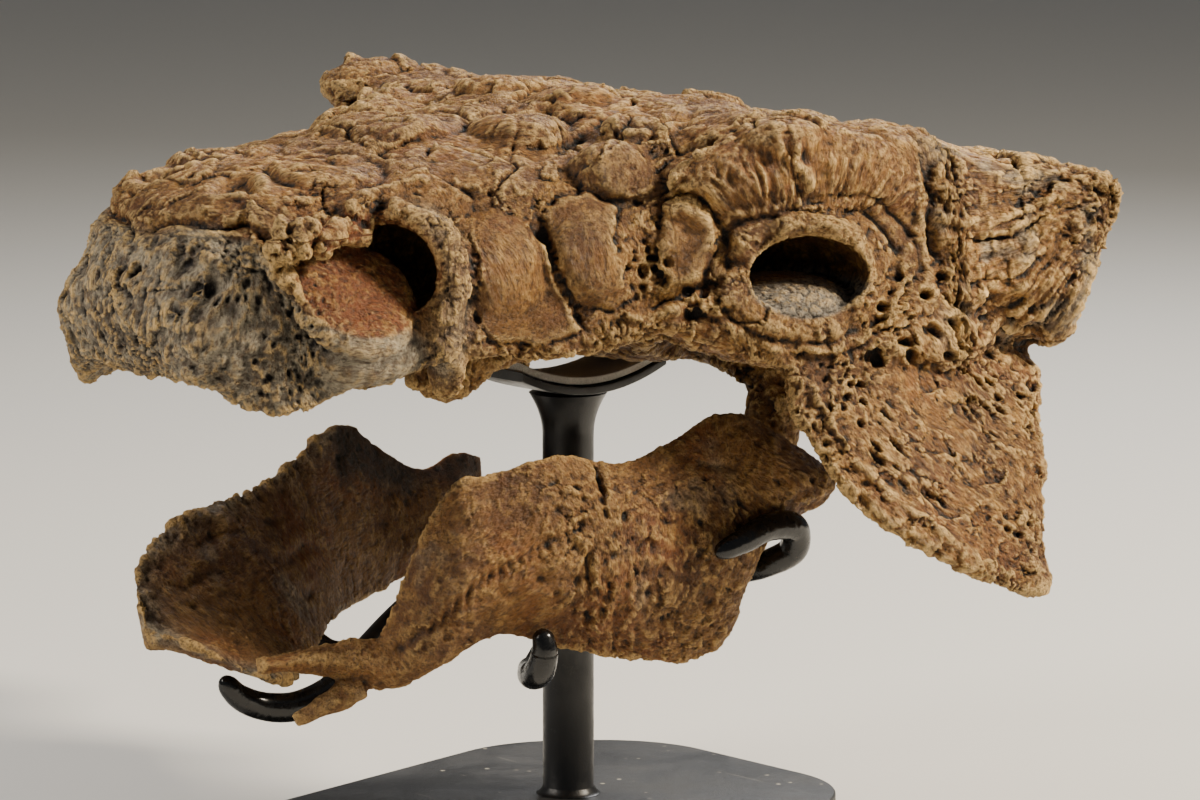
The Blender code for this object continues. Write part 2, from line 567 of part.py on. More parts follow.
def build_cranium():
    pieces = [cranium_body()]
    for side in (1, -1):
        pieces += side_pieces(side)
    pieces.append(limb(VOMER_KEEL, VOMER_KEEL_RADII, "vomer_keel"))
    pieces.append(ball(OCCIPITAL_CONDYLE, OCCIPITAL_CONDYLE_RADII, "occipital_condyle"))
    whole = fuse(pieces, "cranium")
    cutters = side_cutters(1) + side_cutters(-1)
    cutters.append(ball(FORAMEN_MAGNUM, FORAMEN_MAGNUM_RADII, "foramen_magnum"))
    for cutter in cutters:
        combine(whole, cutter, "DIFFERENCE")
    # The bars that cross the jaw muscles' hollows are added once these are open.
    bars = [side_bar(PTERYGOID, PTERYGOID_RADII, "pterygoid", side) for side in (1, -1)]
    bars.append(side_bar(QUADRATE, QUADRATE_RADII, "quadrate", 1))
    broken = slice(RIGHT_QUADRATE_POINTS)
    bars.append(side_bar(QUADRATE[broken], QUADRATE_RADII[broken], "quadrate", -1))
    whole = fuse([whole, *bars], "cranium")
    soften(whole, 6, SKULL_TRIANGLES)
    seat = cradle_solid(CRADLE_HEIGHT + PAD_THICKNESS + GAP, SEAT_DEPTH, GAP, "seat")
    combine(whole, seat, "DIFFERENCE")
    for side, word in ((1, "left"), (-1, "right")):
        part_off(whole, *side_box(*SQUAMOSAL_REGION, side), "squamosal_horn_" + word, "bone")
        part_off(whole, *side_box(*CHEEK_HORN_REGION, side), "cheek_horn_" + word, "bone")
    part_off(whole, *BEAK_REGION, "beak", "beak_bone")
    part_off(whole, *MUZZLE_REGION, "muzzle", "bone")
    return as_part(keep_largest(whole), "braincase", "bone")


def side_box(low, high, side):
    # The box as given for the left, or its mirror image for the right.
    if side > 0:
        return low, high
    return (-high[0], low[1], low[2]), (-low[0], high[1], high[2])


# ---- lower jaw ----------------------------------------------------------------------------------

def jaw_ring(y, top, bottom, half, bulge, outward):
    # A bowed plate's section between its top and bottom edges, as a flattened ring.
    rise = np.array(top) - np.array(bottom)
    length = np.hypot(*rise)
    upward = rise / length
    across = np.array((upward[1], -upward[0])) * outward
    ring = []
    for k in range(24):
        a = 2 * pi * k / 24
        along = 0.5 + 0.5 * sin(a)
        sideways = cos(a) * half * (0.75 + 0.25 * cos(2 * a)) + bulge * 4 * along * (1 - along)
        place = np.array(bottom) + rise * along + across * sideways
        ring.append((place[0], y, place[1]))
    return ring


def jaw_body(sections, side, name):
    # One half of the jaw, lofted from back to front through sections read off the table's curves.
    columns = [[(row[0], row[index]) for row in sections] for index in range(1, 6)]
    rings = []
    for y in np.linspace(sections[0][0], sections[-1][0], 70):
        top_x, top_z, bottom_x, bottom_z, half = [curve_value(column, y) for column in columns]
        scoop = np.clip((SCOOP_START - y) / SCOOP_LENGTH, 0, 1) if side < 0 else 0.0
        bulge = JAW_BULGE + (SCOOP_BULGE - JAW_BULGE) * scoop
        rings.append(jaw_ring(y, (top_x, top_z), (bottom_x, bottom_z), half, bulge, side))
    return loft(rings, name)


def build_jaw():
    spur = limb(JAW_SPUR, (0.008, 0.006, 0.0035), "jaw_spur")
    left = fuse([jaw_body(LEFT_JAW_SECTIONS, 1, "left_jaw"), spur], "left_jaw", JAW_VOXEL)
    soften(left, 5, JAW_TRIANGLES)
    as_part(keep_largest(left), "mandible_left", "jaw_bone")
    right = fuse([jaw_body(RIGHT_JAW_SECTIONS, -1, "right_jaw")], "right_jaw", JAW_VOXEL)
    soften(right, 5, JAW_TRIANGLES)
    part_off(right, *PREDENTARY_REGION, "predentary", "beak_bone")
    as_part(keep_largest(right), "mandible_right", "jaw_bone")


# ---- mount --------------------------------------------------------------------------------------

def cradle_solid(top, depth, margin, name):
    # A block whose top is a shallow trough along the skull, level across it.
    length = CRADLE_HALF_LENGTH + margin
    width = CRADLE_HALF_WIDTH + margin
    ys = np.linspace(-length, length, 11)
    upper = [(y, top + CRADLE_RISE * (y / CRADLE_HALF_LENGTH) ** 2) for y in ys]
    lower = [(y, z - depth) for y, z in reversed(upper)]
    return loft([[(x, y, z) for y, z in upper + lower] for x in (-width, width)], name)


def turned(profile, name, sides=24):
    # A solid of revolution about Z from (radius, height) pairs, bottom to top.
    angles = [2 * pi * k / sides for k in range(sides)]
    return loft([[(r * cos(a), r * sin(a), z) for a in angles] for r, z in profile], name)


def base_plate():
    bm = bmesh.new()
    corners = [BASE_FRONT, BASE_SHOULDER, BASE_BACK]
    corners = corners + [(-x, y) for x, y in reversed(corners)]
    bm.faces.new([bm.verts.new((x, y, 0.0)) for x, y in corners])
    extruded = bmesh.ops.extrude_face_region(bm, geom=list(bm.faces))
    moved = [item for item in extruded["geom"] if isinstance(item, bmesh.types.BMVert)]
    bmesh.ops.translate(bm, vec=(0, 0, BASE_THICKNESS), verts=moved)
    upright = [edge for edge in bm.edges if abs(edge.verts[0].co.z - edge.verts[1].co.z) > 0.001]
    bmesh.ops.bevel(bm, geom=upright, offset=BASE_CORNER, segments=5, profile=0.5, affect="EDGES", clamp_overlap=True)
    plate = object_from(bm, "base")
    edge = plate.modifiers.new("edge", "BEVEL")
    edge.width = BASE_EDGE
    edge.segments = 2
    edge.limit_method = "ANGLE"
    edge.angle_limit = radians(50)
    return apply_modifiers(plate)


def smooth_path(points, count):
    # Evenly stepped points on a smooth curve through the route's own points.
    points = np.array(points)
    steps = np.concatenate([[0.0], np.cumsum(np.linalg.norm(np.diff(points, axis=0), axis=1))])
    at = np.linspace(0.0, steps[-1], count)
    return np.stack([curve_value(list(zip(steps, points[:, axis])), at) for axis in range(3)], axis=1)


def swollen(bone):
    # A cutter of the bone's own shape, larger all round by the clearance.
    cutter = copy_of(bone)
    grow = cutter.modifiers.new("grow", "DISPLACE")
    grow.strength = GAP
    grow.mid_level = 0.0
    return apply_modifiers(cutter)


def jaw_arm(word, rod_path, sleeve_path, bones):
    # A steel rod out of the collar, then a rubber sleeve shaped to the bone that it holds.
    rod_points = smooth_path(rod_path, 6)
    rod = limb(rod_points, [ROD_RADIUS] * len(rod_points), "rod", 8)
    rod_cut = swollen(rod)
    collar_cut = turned([(COLLAR_RADIUS + GAP, 0.05), (COLLAR_RADIUS + GAP, 0.22)], "collar_cut")
    combine(rod, collar_cut, "DIFFERENCE")
    as_part(keep_largest(rod), "stand_arm_" + word, "steel")
    rod_end = rod_points[-1] - rod_points[-2]
    lap_start = rod_points[-1] - rod_end * SLEEVE_LAP / np.linalg.norm(rod_end)
    sleeve_points = smooth_path([lap_start, *sleeve_path[1:]], 9)
    stations = np.linspace(0, 1, len(SLEEVE_RADII))
    radii = np.interp(np.linspace(0, 1, len(sleeve_points)), stations, SLEEVE_RADII)
    sleeve = combine(limb(sleeve_points, radii, "sleeve", 8), rod_cut, "DIFFERENCE")
    for bone in bones:
        combine(sleeve, swollen(bone), "DIFFERENCE")
    as_part(keep_largest(sleeve), "stand_sleeve_" + word, "sleeve")


def build_mount():
    as_part(base_plate(), "stand_base", "plate")
    foot = BASE_THICKNESS + GAP
    profile = [(POST_RADIUS + 0.0035, foot), (POST_RADIUS, foot + 0.004), (POST_RADIUS, POST_TOP - 0.022),
               (POST_RADIUS + 0.002, POST_TOP - 0.010), (POST_RADIUS + 0.007, POST_TOP - GAP)]
    as_part(turned(profile, "post"), "stand_post", "steel")
    steel = cradle_solid(CRADLE_HEIGHT, CRADLE_THICKNESS, 0.0, "cradle")
    as_part(steel, "stand_cradle", "steel")
    pad = cradle_solid(CRADLE_HEIGHT + PAD_THICKNESS, PAD_THICKNESS - GAP, -0.0015, "pad")
    as_part(pad, "stand_cradle_pad", "felt")
    low, high = COLLAR_HEIGHTS
    collar = turned([(COLLAR_RADIUS - 0.001, low), (COLLAR_RADIUS, low + 0.001), (COLLAR_RADIUS, high - 0.001),
                     (COLLAR_RADIUS - 0.001, high)], "collar")
    bore = turned([(POST_RADIUS + GAP, low - 0.01), (POST_RADIUS + GAP, high + 0.01)], "bore")
    as_part(combine(collar, bore, "DIFFERENCE"), "stand_collar", "steel")
    bones = [PARTS.objects[name] for name in ("mandible_left", "mandible_right", "predentary")]
    for word, (rod_path, sleeve_path) in ARMS.items():
        jaw_arm(word, rod_path, sleeve_path, bones)


build_cranium()
build_jaw()
build_mount()
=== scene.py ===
from math import cos, pi, radians, sin

import bmesh
import bpy
import numpy as np
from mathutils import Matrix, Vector


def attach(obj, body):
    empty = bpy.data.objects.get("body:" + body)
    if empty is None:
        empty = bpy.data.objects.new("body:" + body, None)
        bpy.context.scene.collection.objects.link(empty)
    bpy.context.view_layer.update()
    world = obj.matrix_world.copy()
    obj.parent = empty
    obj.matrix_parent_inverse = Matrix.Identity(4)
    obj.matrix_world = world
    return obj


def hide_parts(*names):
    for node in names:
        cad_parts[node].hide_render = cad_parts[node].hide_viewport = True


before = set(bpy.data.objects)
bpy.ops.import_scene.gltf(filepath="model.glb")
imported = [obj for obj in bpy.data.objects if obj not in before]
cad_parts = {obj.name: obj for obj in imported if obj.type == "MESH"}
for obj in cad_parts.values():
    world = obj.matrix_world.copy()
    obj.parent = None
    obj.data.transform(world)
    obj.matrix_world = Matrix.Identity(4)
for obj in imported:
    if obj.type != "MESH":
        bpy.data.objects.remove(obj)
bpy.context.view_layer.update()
boneStep = 0.00135   # metres between neighbouring points of the skull's skin
jawStep = 0.0012
print("frame loaded")


# curves, grids and meshes

def curveAt(knots, at):
    # cubic pieces through the knots; the slope at a knot is that of its neighbours
    xs, ys = np.array(knots, float).T
    slopes = np.gradient(ys, xs)
    at = np.clip(at, xs[0], xs[-1])
    cell = np.clip(np.searchsorted(xs, at) - 1, 0, len(xs) - 2)
    width = xs[cell + 1] - xs[cell]
    t = (at - xs[cell]) / width
    start = ys[cell] * (2 * t**3 - 3 * t**2 + 1) + slopes[cell] * width * (t**3 - 2 * t**2 + t)
    return start + ys[cell + 1] * (3 * t**2 - 2 * t**3) + slopes[cell + 1] * width * (t**3 - t**2)


def columnsAt(rows, at):
    # reads every column of a table of sections as a curve over its first column
    rows = np.array(rows, float)
    return [curveAt(rows[:, [0, column]], at) for column in range(1, rows.shape[1])]


def ringThrough(corners, count):
    # closed rings through a few corners, given as pairs of columns and blended by Catmull-Rom
    corners = np.stack([np.stack(corner, -1) for corner in corners], 1)
    number = corners.shape[1]
    along = np.arange(count) * number / count
    cell = along.astype(int)
    t = (along - cell)[None, :, None]
    before, here, after, beyond = [corners[:, (cell + k) % number] for k in (-1, 0, 1, 2)]
    return 0.5 * (2 * here + (after - before) * t + (2 * before - 5 * here + 4 * after - beyond) * t**2
                  + (3 * here - before - 3 * after + beyond) * t**3)


def lengths(rows):
    return np.linalg.norm(rows, axis=1)


def smoothRoute(points, count):
    # evenly stepped points on a smooth curve through the route's own points
    points = np.array(points, float)
    steps = np.concatenate([[0.0], np.cumsum(lengths(np.diff(points, axis=0)))])
    at = np.linspace(0.0, steps[-1], count)
    return np.stack([curveAt(np.stack([steps, points[:, axis]], 1), at) for axis in range(3)], 1)


def blob(centre, radii, turn=0.0, rows=28, count=40):
    # an ellipsoid: latitude rows from pole to pole, turned about the upright axis
    v, u = np.meshgrid(np.linspace(0.02, pi - 0.02, rows), np.arange(count) * 2 * pi / count, indexing="ij")
    x, y, z = radii[0] * np.sin(v) * np.cos(u), radii[1] * np.sin(v) * np.sin(u), radii[2] * np.cos(v)
    x, y = x * cos(turn) - y * sin(turn), x * sin(turn) + y * cos(turn)
    return np.stack([x, y, z], -1) + np.array(centre)


def slab(centre, facing, wide, thick, rows=24, count=40):
    # a disc with a rounded edge: a circle whose radius grows fast towards the edge, across the way it faces
    facing = np.array(facing, float) / np.linalg.norm(facing)
    aside = np.cross(facing, (0.0, 0.0, 1.0))
    aside /= np.linalg.norm(aside)
    ahead = np.cross(facing, aside)
    v, u = np.meshgrid(np.linspace(0.02, pi - 0.02, rows), np.arange(count) * 2 * pi / count, indexing="ij")
    flat = wide * np.sin(v)[..., None]**.4 * (np.cos(u)[..., None] * aside + np.sin(u)[..., None] * ahead)
    return flat + thick * np.cos(v)[..., None] * facing + np.array(centre)


def bar(points, radii, flatten=1.0, count=24, rows=None, rounded=0):
    # a tube along a smooth route: a circle of the route's radius in the plane across it at each step
    rows = rows or 4 * len(points)
    route = smoothRoute(points, rows)
    at = np.linspace(0, 1, rows)
    radius = np.interp(at, np.linspace(0, 1, len(radii)), radii)
    if rounded:   # a rounded tip: the last steps shrink like a circle's edge
        radius = radius * np.sqrt(np.clip(1 - np.clip((at - 1 + rounded) / rounded, 0, 0.999)**2, 0, 1))
    along = np.gradient(route, axis=0)
    along /= np.linalg.norm(along, axis=1, keepdims=True)
    aside = np.cross(along, (0.0, 0.0, 1.0))
    steep = lengths(aside) < 0.25
    aside[steep] = np.cross(along[steep], (0.0, 1.0, 0.0))
    aside /= np.linalg.norm(aside, axis=1, keepdims=True)
    for row in range(1, rows):   # keeps the frame from turning over between two steps
        if aside[row] @ aside[row - 1] < 0:
            aside[row] = -aside[row]
    up = np.cross(aside, along)
    angle = np.arange(count) * 2 * pi / count
    cosine, sine = np.cos(angle)[None, :, None], np.sin(angle)[None, :, None]
    across = aside[:, None] * cosine * flatten + up[:, None] * sine
    return route[:, None] + across * radius[:, None, None]


def turned(profile, count=96):
    # a solid of revolution: each (radius, height) pair swept round the upright axis
    radius, height = np.array(profile, float).T
    angle = np.arange(count) * 2 * pi / count
    upright = np.broadcast_to(height[:, None], (len(height), count))
    return np.stack([radius[:, None] * np.cos(angle), radius[:, None] * np.sin(angle), upright], -1)


def mirrored(grid, side):
    return np.array(grid, float) * (side, 1.0, 1.0)


def meshFrom(grids, name, looped=False):
    # rows of closed rings joined by quads; both ends are closed by a fan, or joined to each other if looped
    points, faces, base = [], [], 0
    for grid in grids:
        rows, count = grid.shape[:2]
        last = rows if looped else rows - 1
        i, j = np.meshgrid(np.arange(last), np.arange(count), indexing="ij")
        k, n = (j + 1) % count, (i + 1) % rows
        quads = np.stack([i * count + j, i * count + k, n * count + k, n * count + j], -1).reshape(-1, 4)
        flat = grid.reshape(-1, 3)
        a, b, c, d = [flat[quads[:, q]] for q in range(4)]
        volume = np.einsum("ij,ij->", a, np.cross(b, c)) + np.einsum("ij,ij->", a, np.cross(c, d))
        tip = len(flat)
        ring = np.arange(count)
        fans = np.stack([np.roll(ring, -1), ring, np.full(count, tip)], -1)
        if looped:
            tips, fans = np.zeros((0, 3)), np.zeros((0, 3), int)
        else:
            tips = np.stack([grid[0].mean(0), grid[-1].mean(0)])
            far = np.stack([ring + (rows - 1) * count, np.roll(ring, -1) + (rows - 1) * count,
                            np.full(count, tip + 1)], -1)
            fans = np.concatenate([fans, far])
            a, b, c = [np.concatenate([flat, tips])[fans[:, q]] for q in range(3)]
            volume += np.einsum("ij,ij->", a, np.cross(b, c))
        if volume < 0:   # inside out, so every face is turned round
            quads, fans = quads[:, ::-1], fans[:, ::-1]
        points += [flat, tips]
        faces += (quads + base).tolist() + (fans + base).tolist()
        base += len(flat) + len(tips)
    mesh = bpy.data.meshes.new(name)
    mesh.from_pydata(np.concatenate(points).tolist(), [], faces)
    return mesh


def objectOf(mesh, name):
    piece = bpy.data.objects.new(name, mesh)
    bpy.context.scene.collection.objects.link(piece)
    return piece


def settle(piece):
    # bakes the piece's modifiers into its mesh
    bpy.context.view_layer.update()
    was = piece.data
    piece.data = bpy.data.meshes.new_from_object(piece.evaluated_get(bpy.context.evaluated_depsgraph_get()))
    piece.modifiers.clear()
    bpy.data.meshes.remove(was)
    return piece


def melt(piece, step):
    # one closed skin round everything that overlaps, on a grid of the given step
    modifier = piece.modifiers.new("melt", "REMESH")
    modifier.mode = "VOXEL"
    modifier.voxel_size = step
    return settle(piece)


def ease(piece, times):
    modifier = piece.modifiers.new("ease", "SMOOTH")
    modifier.factor = 0.5
    modifier.iterations = times
    return settle(piece)


def joined(first, second):
    # the faces of both in one mesh; the second object is used up
    counts = len(first.data.vertices)
    faces = [tuple(face.vertices) for face in first.data.polygons]
    faces += [tuple(v + counts for v in face.vertices) for face in second.data.polygons]
    mesh = bpy.data.meshes.new(first.name)
    mesh.from_pydata(np.concatenate([pointsOf(first), pointsOf(second)]).tolist(), [], faces)
    first.data = mesh
    bpy.data.objects.remove(second)
    return first


def cut(piece, tool, how, keepTool=False):
    modifier = piece.modifiers.new("cut", "BOOLEAN")
    modifier.operation = how
    modifier.solver = "MANIFOLD"
    modifier.object = tool
    settle(piece)
    if not keepTool:
        bpy.data.objects.remove(tool)
    return piece


def boxObject(low, high):
    (a, b, c), (d, e, f) = low, high
    corners = np.array([(x, y, z) for x in (a, d) for y in (b, e) for z in (c, f)])
    faces = [(0, 1, 3, 2), (4, 6, 7, 5), (0, 4, 5, 1), (2, 3, 7, 6), (0, 2, 6, 4), (1, 5, 7, 3)]
    mesh = bpy.data.meshes.new("region")
    mesh.from_pydata(corners.tolist(), [], faces)
    return objectOf(mesh, "region")


def pointsOf(piece):
    flat = np.zeros(len(piece.data.vertices) * 3, np.float32)
    piece.data.vertices.foreach_get("co", flat)
    return flat.reshape(-1, 3).astype(float)


def normalsOf(piece):
    flat = np.zeros(len(piece.data.vertices) * 3, np.float32)
    piece.data.vertex_normals.foreach_get("vector", flat)
    return flat.reshape(-1, 3).astype(float)


def raised(piece, points, heights):
    # moves every point out along its own normal
    points = points + normalsOf(piece) * heights[:, None]
    piece.data.vertices.foreach_set("co", points.astype(np.float32).ravel())
    piece.data.update()
    return points


def paint(piece, name, values):
    # a number at each point of the piece, which its material reads
    layer = piece.data.attributes.get(name) or piece.data.attributes.new(name, "FLOAT", "POINT")
    layer.data.foreach_set("value", values.astype(np.float32))


def painted(piece, name):
    values = np.zeros(len(piece.data.vertices), np.float32)
    piece.data.attributes[name].data.foreach_get("value", values)
    return values


# random relief, in metres and worked out for all points at once

def lumps(points, size, seed):
    # random heights from -1 to 1 on a cubic lattice of the given size, blended smoothly in between
    table = np.random.default_rng(seed).random((32, 32, 32)) * 2 - 1
    scaled = points / size + 400.0
    cell = np.floor(scaled).astype(int)
    part = scaled - cell
    part = part * part * (3 - 2 * part)
    total = np.zeros(len(points))
    for corner in np.ndindex(2, 2, 2):
        x, y, z = ((cell + corner) % 32).T
        near = np.where(corner, part, 1 - part)
        total += table[x, y, z] * near[:, 0] * near[:, 1] * near[:, 2]
    return total


def wanderOf(points, size, seed):
    # a random offset from -1 to 1 on each axis
    return np.stack([lumps(points, size, seed + axis) for axis in range(3)], 1)


def rough(points, size, seed, octaves=4, fall=0.5):
    # lumps of halving size and falling height, added up
    return sum(lumps(points, size / 2**k, seed + k) * fall**k for k in range(octaves))


def creases(points, size, seed, octaves=3):
    # sharp ridges: one less the size of the lumps, of halving size
    return sum((1 - 2 * np.abs(lumps(points, size / 2**k, seed + k))) * 0.5**k for k in range(octaves))


def cells(points, size, seed):
    # distances to the nearest and second nearest of one random middle in each lattice cell, as shares of
    # size, and the height of a plane through the nearest middle with a random tilt of its own
    table = np.random.default_rng(seed).random((32, 32, 32, 6)) * (1, 1, 1, 2, 2, 2) - (0, 0, 0, 1, 1, 1)
    scaled = points / size + 400.0
    cell = np.floor(scaled).astype(int)
    first = np.full(len(points), 9.0)
    second = np.full(len(points), 9.0)
    tilted = np.zeros(len(points))
    for offset in np.ndindex(3, 3, 3):
        at = cell + offset - 1
        x, y, z = (at % 32).T
        values = table[x, y, z]
        away = scaled - at - values[:, :3]
        gap = np.sqrt(np.einsum("ij,ij->i", away, away))
        nearer = gap < first
        tilted[nearer] = np.einsum("ij,ij->i", away[nearer], values[nearer, 3:])
        second = np.minimum(second, np.maximum(first, gap))
        first = np.minimum(first, gap)
    return first, second, tilted


def chips(points, size, seed):
    # broken facets: the tilted planes of the cells, with a step where two cells meet
    return cells(points, size, seed)[2]


def edgeOf(points, size, seed):
    # nothing where two cells meet, rising to about 1 in their middles
    first, second, _ = cells(points, size, seed)
    return second - first


def bell(points, centre, radius, power=2):
    # 1 at the centre, and e to the minus (distance / radius)^power elsewhere
    return np.exp(-(lengths(points - centre) / radius)**power)


def pits(where, points, size, seed, depth, brim, floor):
    # holes round the middles of cells: nothing outside the brim and all the depth inside the floor, both as
    # shares of size; worked out just where the share of pits is more than nothing
    total = np.zeros(len(points))
    some = where > .002
    total[some] = depth * blend(brim, floor, cells(points[some], size, seed)[0]) * where[some]
    return total


def nearLine(points, route, width):
    # 1 on a line through the route's points, falling like a bell curve over the width beside it
    gap = np.full(len(points), 1.0)
    route = np.array(route, float)
    for start, end in zip(route, route[1:]):
        t = np.clip((points - start) @ (end - start) / np.sum((end - start)**2), 0, 1)
        gap = np.minimum(gap, lengths(points - start - t[:, None] * (end - start)))
    return np.exp(-(gap / width)**2)


def blend(low, high, values):
    # 0 below low, 1 above high and smooth in between
    t = np.clip((values - low) / (high - low), 0, 1)
    return t * t * (3 - 2 * t)


def sideOf(points):
    # the right side folded over onto the left, so that a place given for the left serves both
    return np.column_stack([np.abs(points[:, 0]), points[:, 1:]])


def ringAt(values, middle, width):
    return np.exp(-((values - middle) / width)**2)


def hollowness(piece, times):
    # how far each point stands out of the same skin smoothed by averaging each point with its neighbours
    points, normals, number = pointsOf(piece), normalsOf(piece), len(piece.data.vertices)
    edges = np.zeros(len(piece.data.edges) * 2, np.int32)
    piece.data.edges.foreach_get("vertices", edges)
    a, b = edges.reshape(-1, 2).T
    count = np.maximum(np.bincount(a, minlength=number) + np.bincount(b, minlength=number), 1)
    smooth = points.copy()
    for _ in range(times):
        for axis in range(3):
            near = np.bincount(a, smooth[b, axis], number) + np.bincount(b, smooth[a, axis], number)
            smooth[:, axis] = .5 * (smooth[:, axis] + near / count)
    return np.einsum("ij,ij->i", points - smooth, normals)


def paintRelief(piece):
    # one number for both scales: pores and edges of 2 mm, and hollows of 7 mm; the bone's material darkens its
    # low values, partly as dirt and partly as painted shade
    fine, broad = hollowness(piece, 4), hollowness(piece, 48)
    paint(piece, "relief", np.clip(.5 + fine / .0022 + broad / .008, .02, 1.0))


def paintFlow(piece, flow):
    layer = piece.data.attributes.new("flow", "FLOAT_VECTOR", "POINT")
    layer.data.foreach_set("vector", flow.astype(np.float32).ravel())


# the cranium's forms

cranium = {
    "roofMidline": ((-.284, .306), (-.277, .318), (-.266, .333), (-.252, .346), (-.236, .352),
        (-.185, .358), (-.11, .37), (-.03, .38), (.04, .376), (.09, .362), (.13, .35), (.146, .332)),
    "roofEdgeWidth": ((-.284, .032), (-.262, .046), (-.237, .062), (-.19, .08), (-.13, .098), (-.045, .134),
        (-.015, .152), (.04, .166), (.118, .16), (.146, .132)),
    "roofEdgeHeight": ((-.284, .3), (-.262, .326), (-.19, .344), (-.13, .347), (-.045, .349), (-.018, .366),
        (.04, .366), (.118, .35), (.146, .326)),
    "lowerEdgeWidth": ((-.284, .034), (-.276, .05), (-.262, .066), (-.25, .078), (-.225, .087), (-.175, .1),
        (-.115, .117), (-.06, .142), (-.02, .169), (.04, .183), (.13, .18), (.146, .168)),
    "lowerEdgeHeight": ((-.284, .281), (-.278, .264), (-.268, .254), (-.254, .246), (-.222, .249),
        (-.2, .258), (-.175, .264), (-.135, .265), (-.083, .265), (-.055, .276), (-.02, .262), (.06, .253),
        (.13, .256), (.146, .27)),
    "palateHeight": ((-.284, .282), (-.277, .264), (-.266, .258), (-.25, .264), (-.232, .276), (-.12, .284),
        (-.06, .266), (-.01, .246), (.07, .241), (.13, .246), (.146, .262)),
    "orbit": (.168, .012, .3),
    "orbitRadii": (.05, .032, .02),
    "orbitTurn": radians(-25),
    "openingRadii": (.0335, .0215),
    "rimRadii": (.0355, .0265),
    "rimThickness": .0085,
    "naris": (.094, -.203, .31),
    "narisRadii": (.034, .035, .029),
    "narisDepth": (.075, -.171, .309),
    "narisDepthRadii": (.036, .023, .025),
    "jawSpace": (.108, .052, .238),
    "jawSpaceRadii": (.047, .106, .037),
}
squamosalRows = (
    (.06, .138, .042, .272, .362), (.088, .142, .042, .272, .362), (.12, .152, .041, .264, .35),
    (.148, .168, .034, .26, .345), (.166, .186, .022, .262, .341), (.174, .191, .018, .288, .34),
    (.188, .206, .008, .32, .337),
)
cheekRows = (
    (.14, .246, .01, .092, .112), (.158, .236, .014, .053, .124), (.174, .227, .016, .027, .13),
    (.19, .217, .018, .01, .139), (.206, .21, .02, 0.0, .144), (.228, .198, .023, -.007, .156),
    (.252, .186, .027, -.006, .159), (.278, .178, .03, -.02, .146),
)
# the middles and radii of the plates on the cheek, and the tops and radii of the domes on the roof
sidePlates = (
    ((.1, -.135, .306), .031), ((.117, -.087, .309), .028), ((.13, -.045, .316), .022),
    ((.11, -.064, .345), .022),
)
roofDomes = (
    ((.043, -.19, .3575), .032), ((.016, -.118, .373), .032), ((.054, -.076, .376), .03),
    ((.03, -.02, .385), .03), ((.098, -.03, .376), .026), ((.062, .03, .379), .034),
    ((.016, .072, .369), .032), ((.118, .045, .373), .03), ((.072, .092, .365), .03),
    ((.132, .098, .358), .026), ((.024, .126, .353), .028),
)
brokenRows = (
    (.208, .207, .014, .03, .08), (.218, .203, .019, .012, .112), (.234, .195, .023, -.002, .14),
    (.252, .186, .027, -.006, .152), (.278, .178, .03, -.02, .142),
)


# the broken edge over the left nostril: (y, x, z)
tornEdge = (
    (-.247, .08, .33), (-.235, .085, .327), (-.22, .085, .329), (-.206, .083, .332), (-.193, .078, .337),
)


def craniumSkin():
    # upright sections of roof, side, lower edge and palate, each a smooth ring through ten corners
    y = np.concatenate([np.linspace(-.284, -.262, 12), np.linspace(-.26, .146, 150)])
    roof, edgeX, edgeZ, lowX, lowZ, palate = [curveAt(cranium[key], y) for key in
                                              ("roofMidline", "roofEdgeWidth", "roofEdgeHeight",
                                               "lowerEdgeWidth", "lowerEdgeHeight", "palateHeight")]
    swell = .004 + .012 * np.clip((-.25 - y) / .03, 0, 1)
    half = [(.55 * edgeX, roof - .25 * (roof - edgeZ)), (edgeX, edgeZ),
            (.5 * (edgeX + lowX) + swell, .5 * (edgeZ + lowZ)), (lowX, lowZ),
            (.62 * lowX, .5 * (lowZ + palate) + .004)]
    corners = [(0 * y, roof), *half, (0 * y, palate), *[(-x, z) for x, z in reversed(half)]]
    ring = ringThrough(corners, 120)
    return np.stack([ring[..., 0], np.broadcast_to(y[:, None], ring.shape[:2]), ring[..., 1]], -1)


def squamosalSkin(side):
    # upright sections along the horn: a seven-cornered ring that narrows to the tip
    y = np.linspace(.06, .188, 60)
    x, half, low, top = columnsAt(squamosalRows, y)
    middle = .5 * (low + top)
    corners = [(x + half, low + .2 * (top - low)), (x + half, middle), (x + .7 * half, top),
               (x - .7 * half, top), (x - half, middle), (x - .6 * half, low), (x + .6 * half, low)]
    ring = ringThrough(corners, 72)
    return np.stack([ring[..., 0] * side, np.broadcast_to(y[:, None], ring.shape[:2]), ring[..., 1]], -1)


def cheekSkin(side):
    # level sections down the horn: a flattened ring between its front and back edges
    rows = cheekRows if side > 0 else brokenRows
    z = np.linspace(rows[0][0], rows[-1][0], 90)
    outer, thick, front, back = columnsAt(rows, z)
    inner, length = outer - thick, back - front
    corners = [(outer - .5 * thick, front), (outer, front + .18 * length), (outer, front + .5 * length),
               (outer, back - .18 * length), (outer - .5 * thick, back), (inner, back - .2 * length),
               (inner, front + .5 * length), (inner, front + .2 * length)]
    ring = ringThrough(corners, 96)
    return np.stack([ring[..., 0] * side, ring[..., 1], np.broadcast_to(z[:, None], ring.shape[:2])], -1)


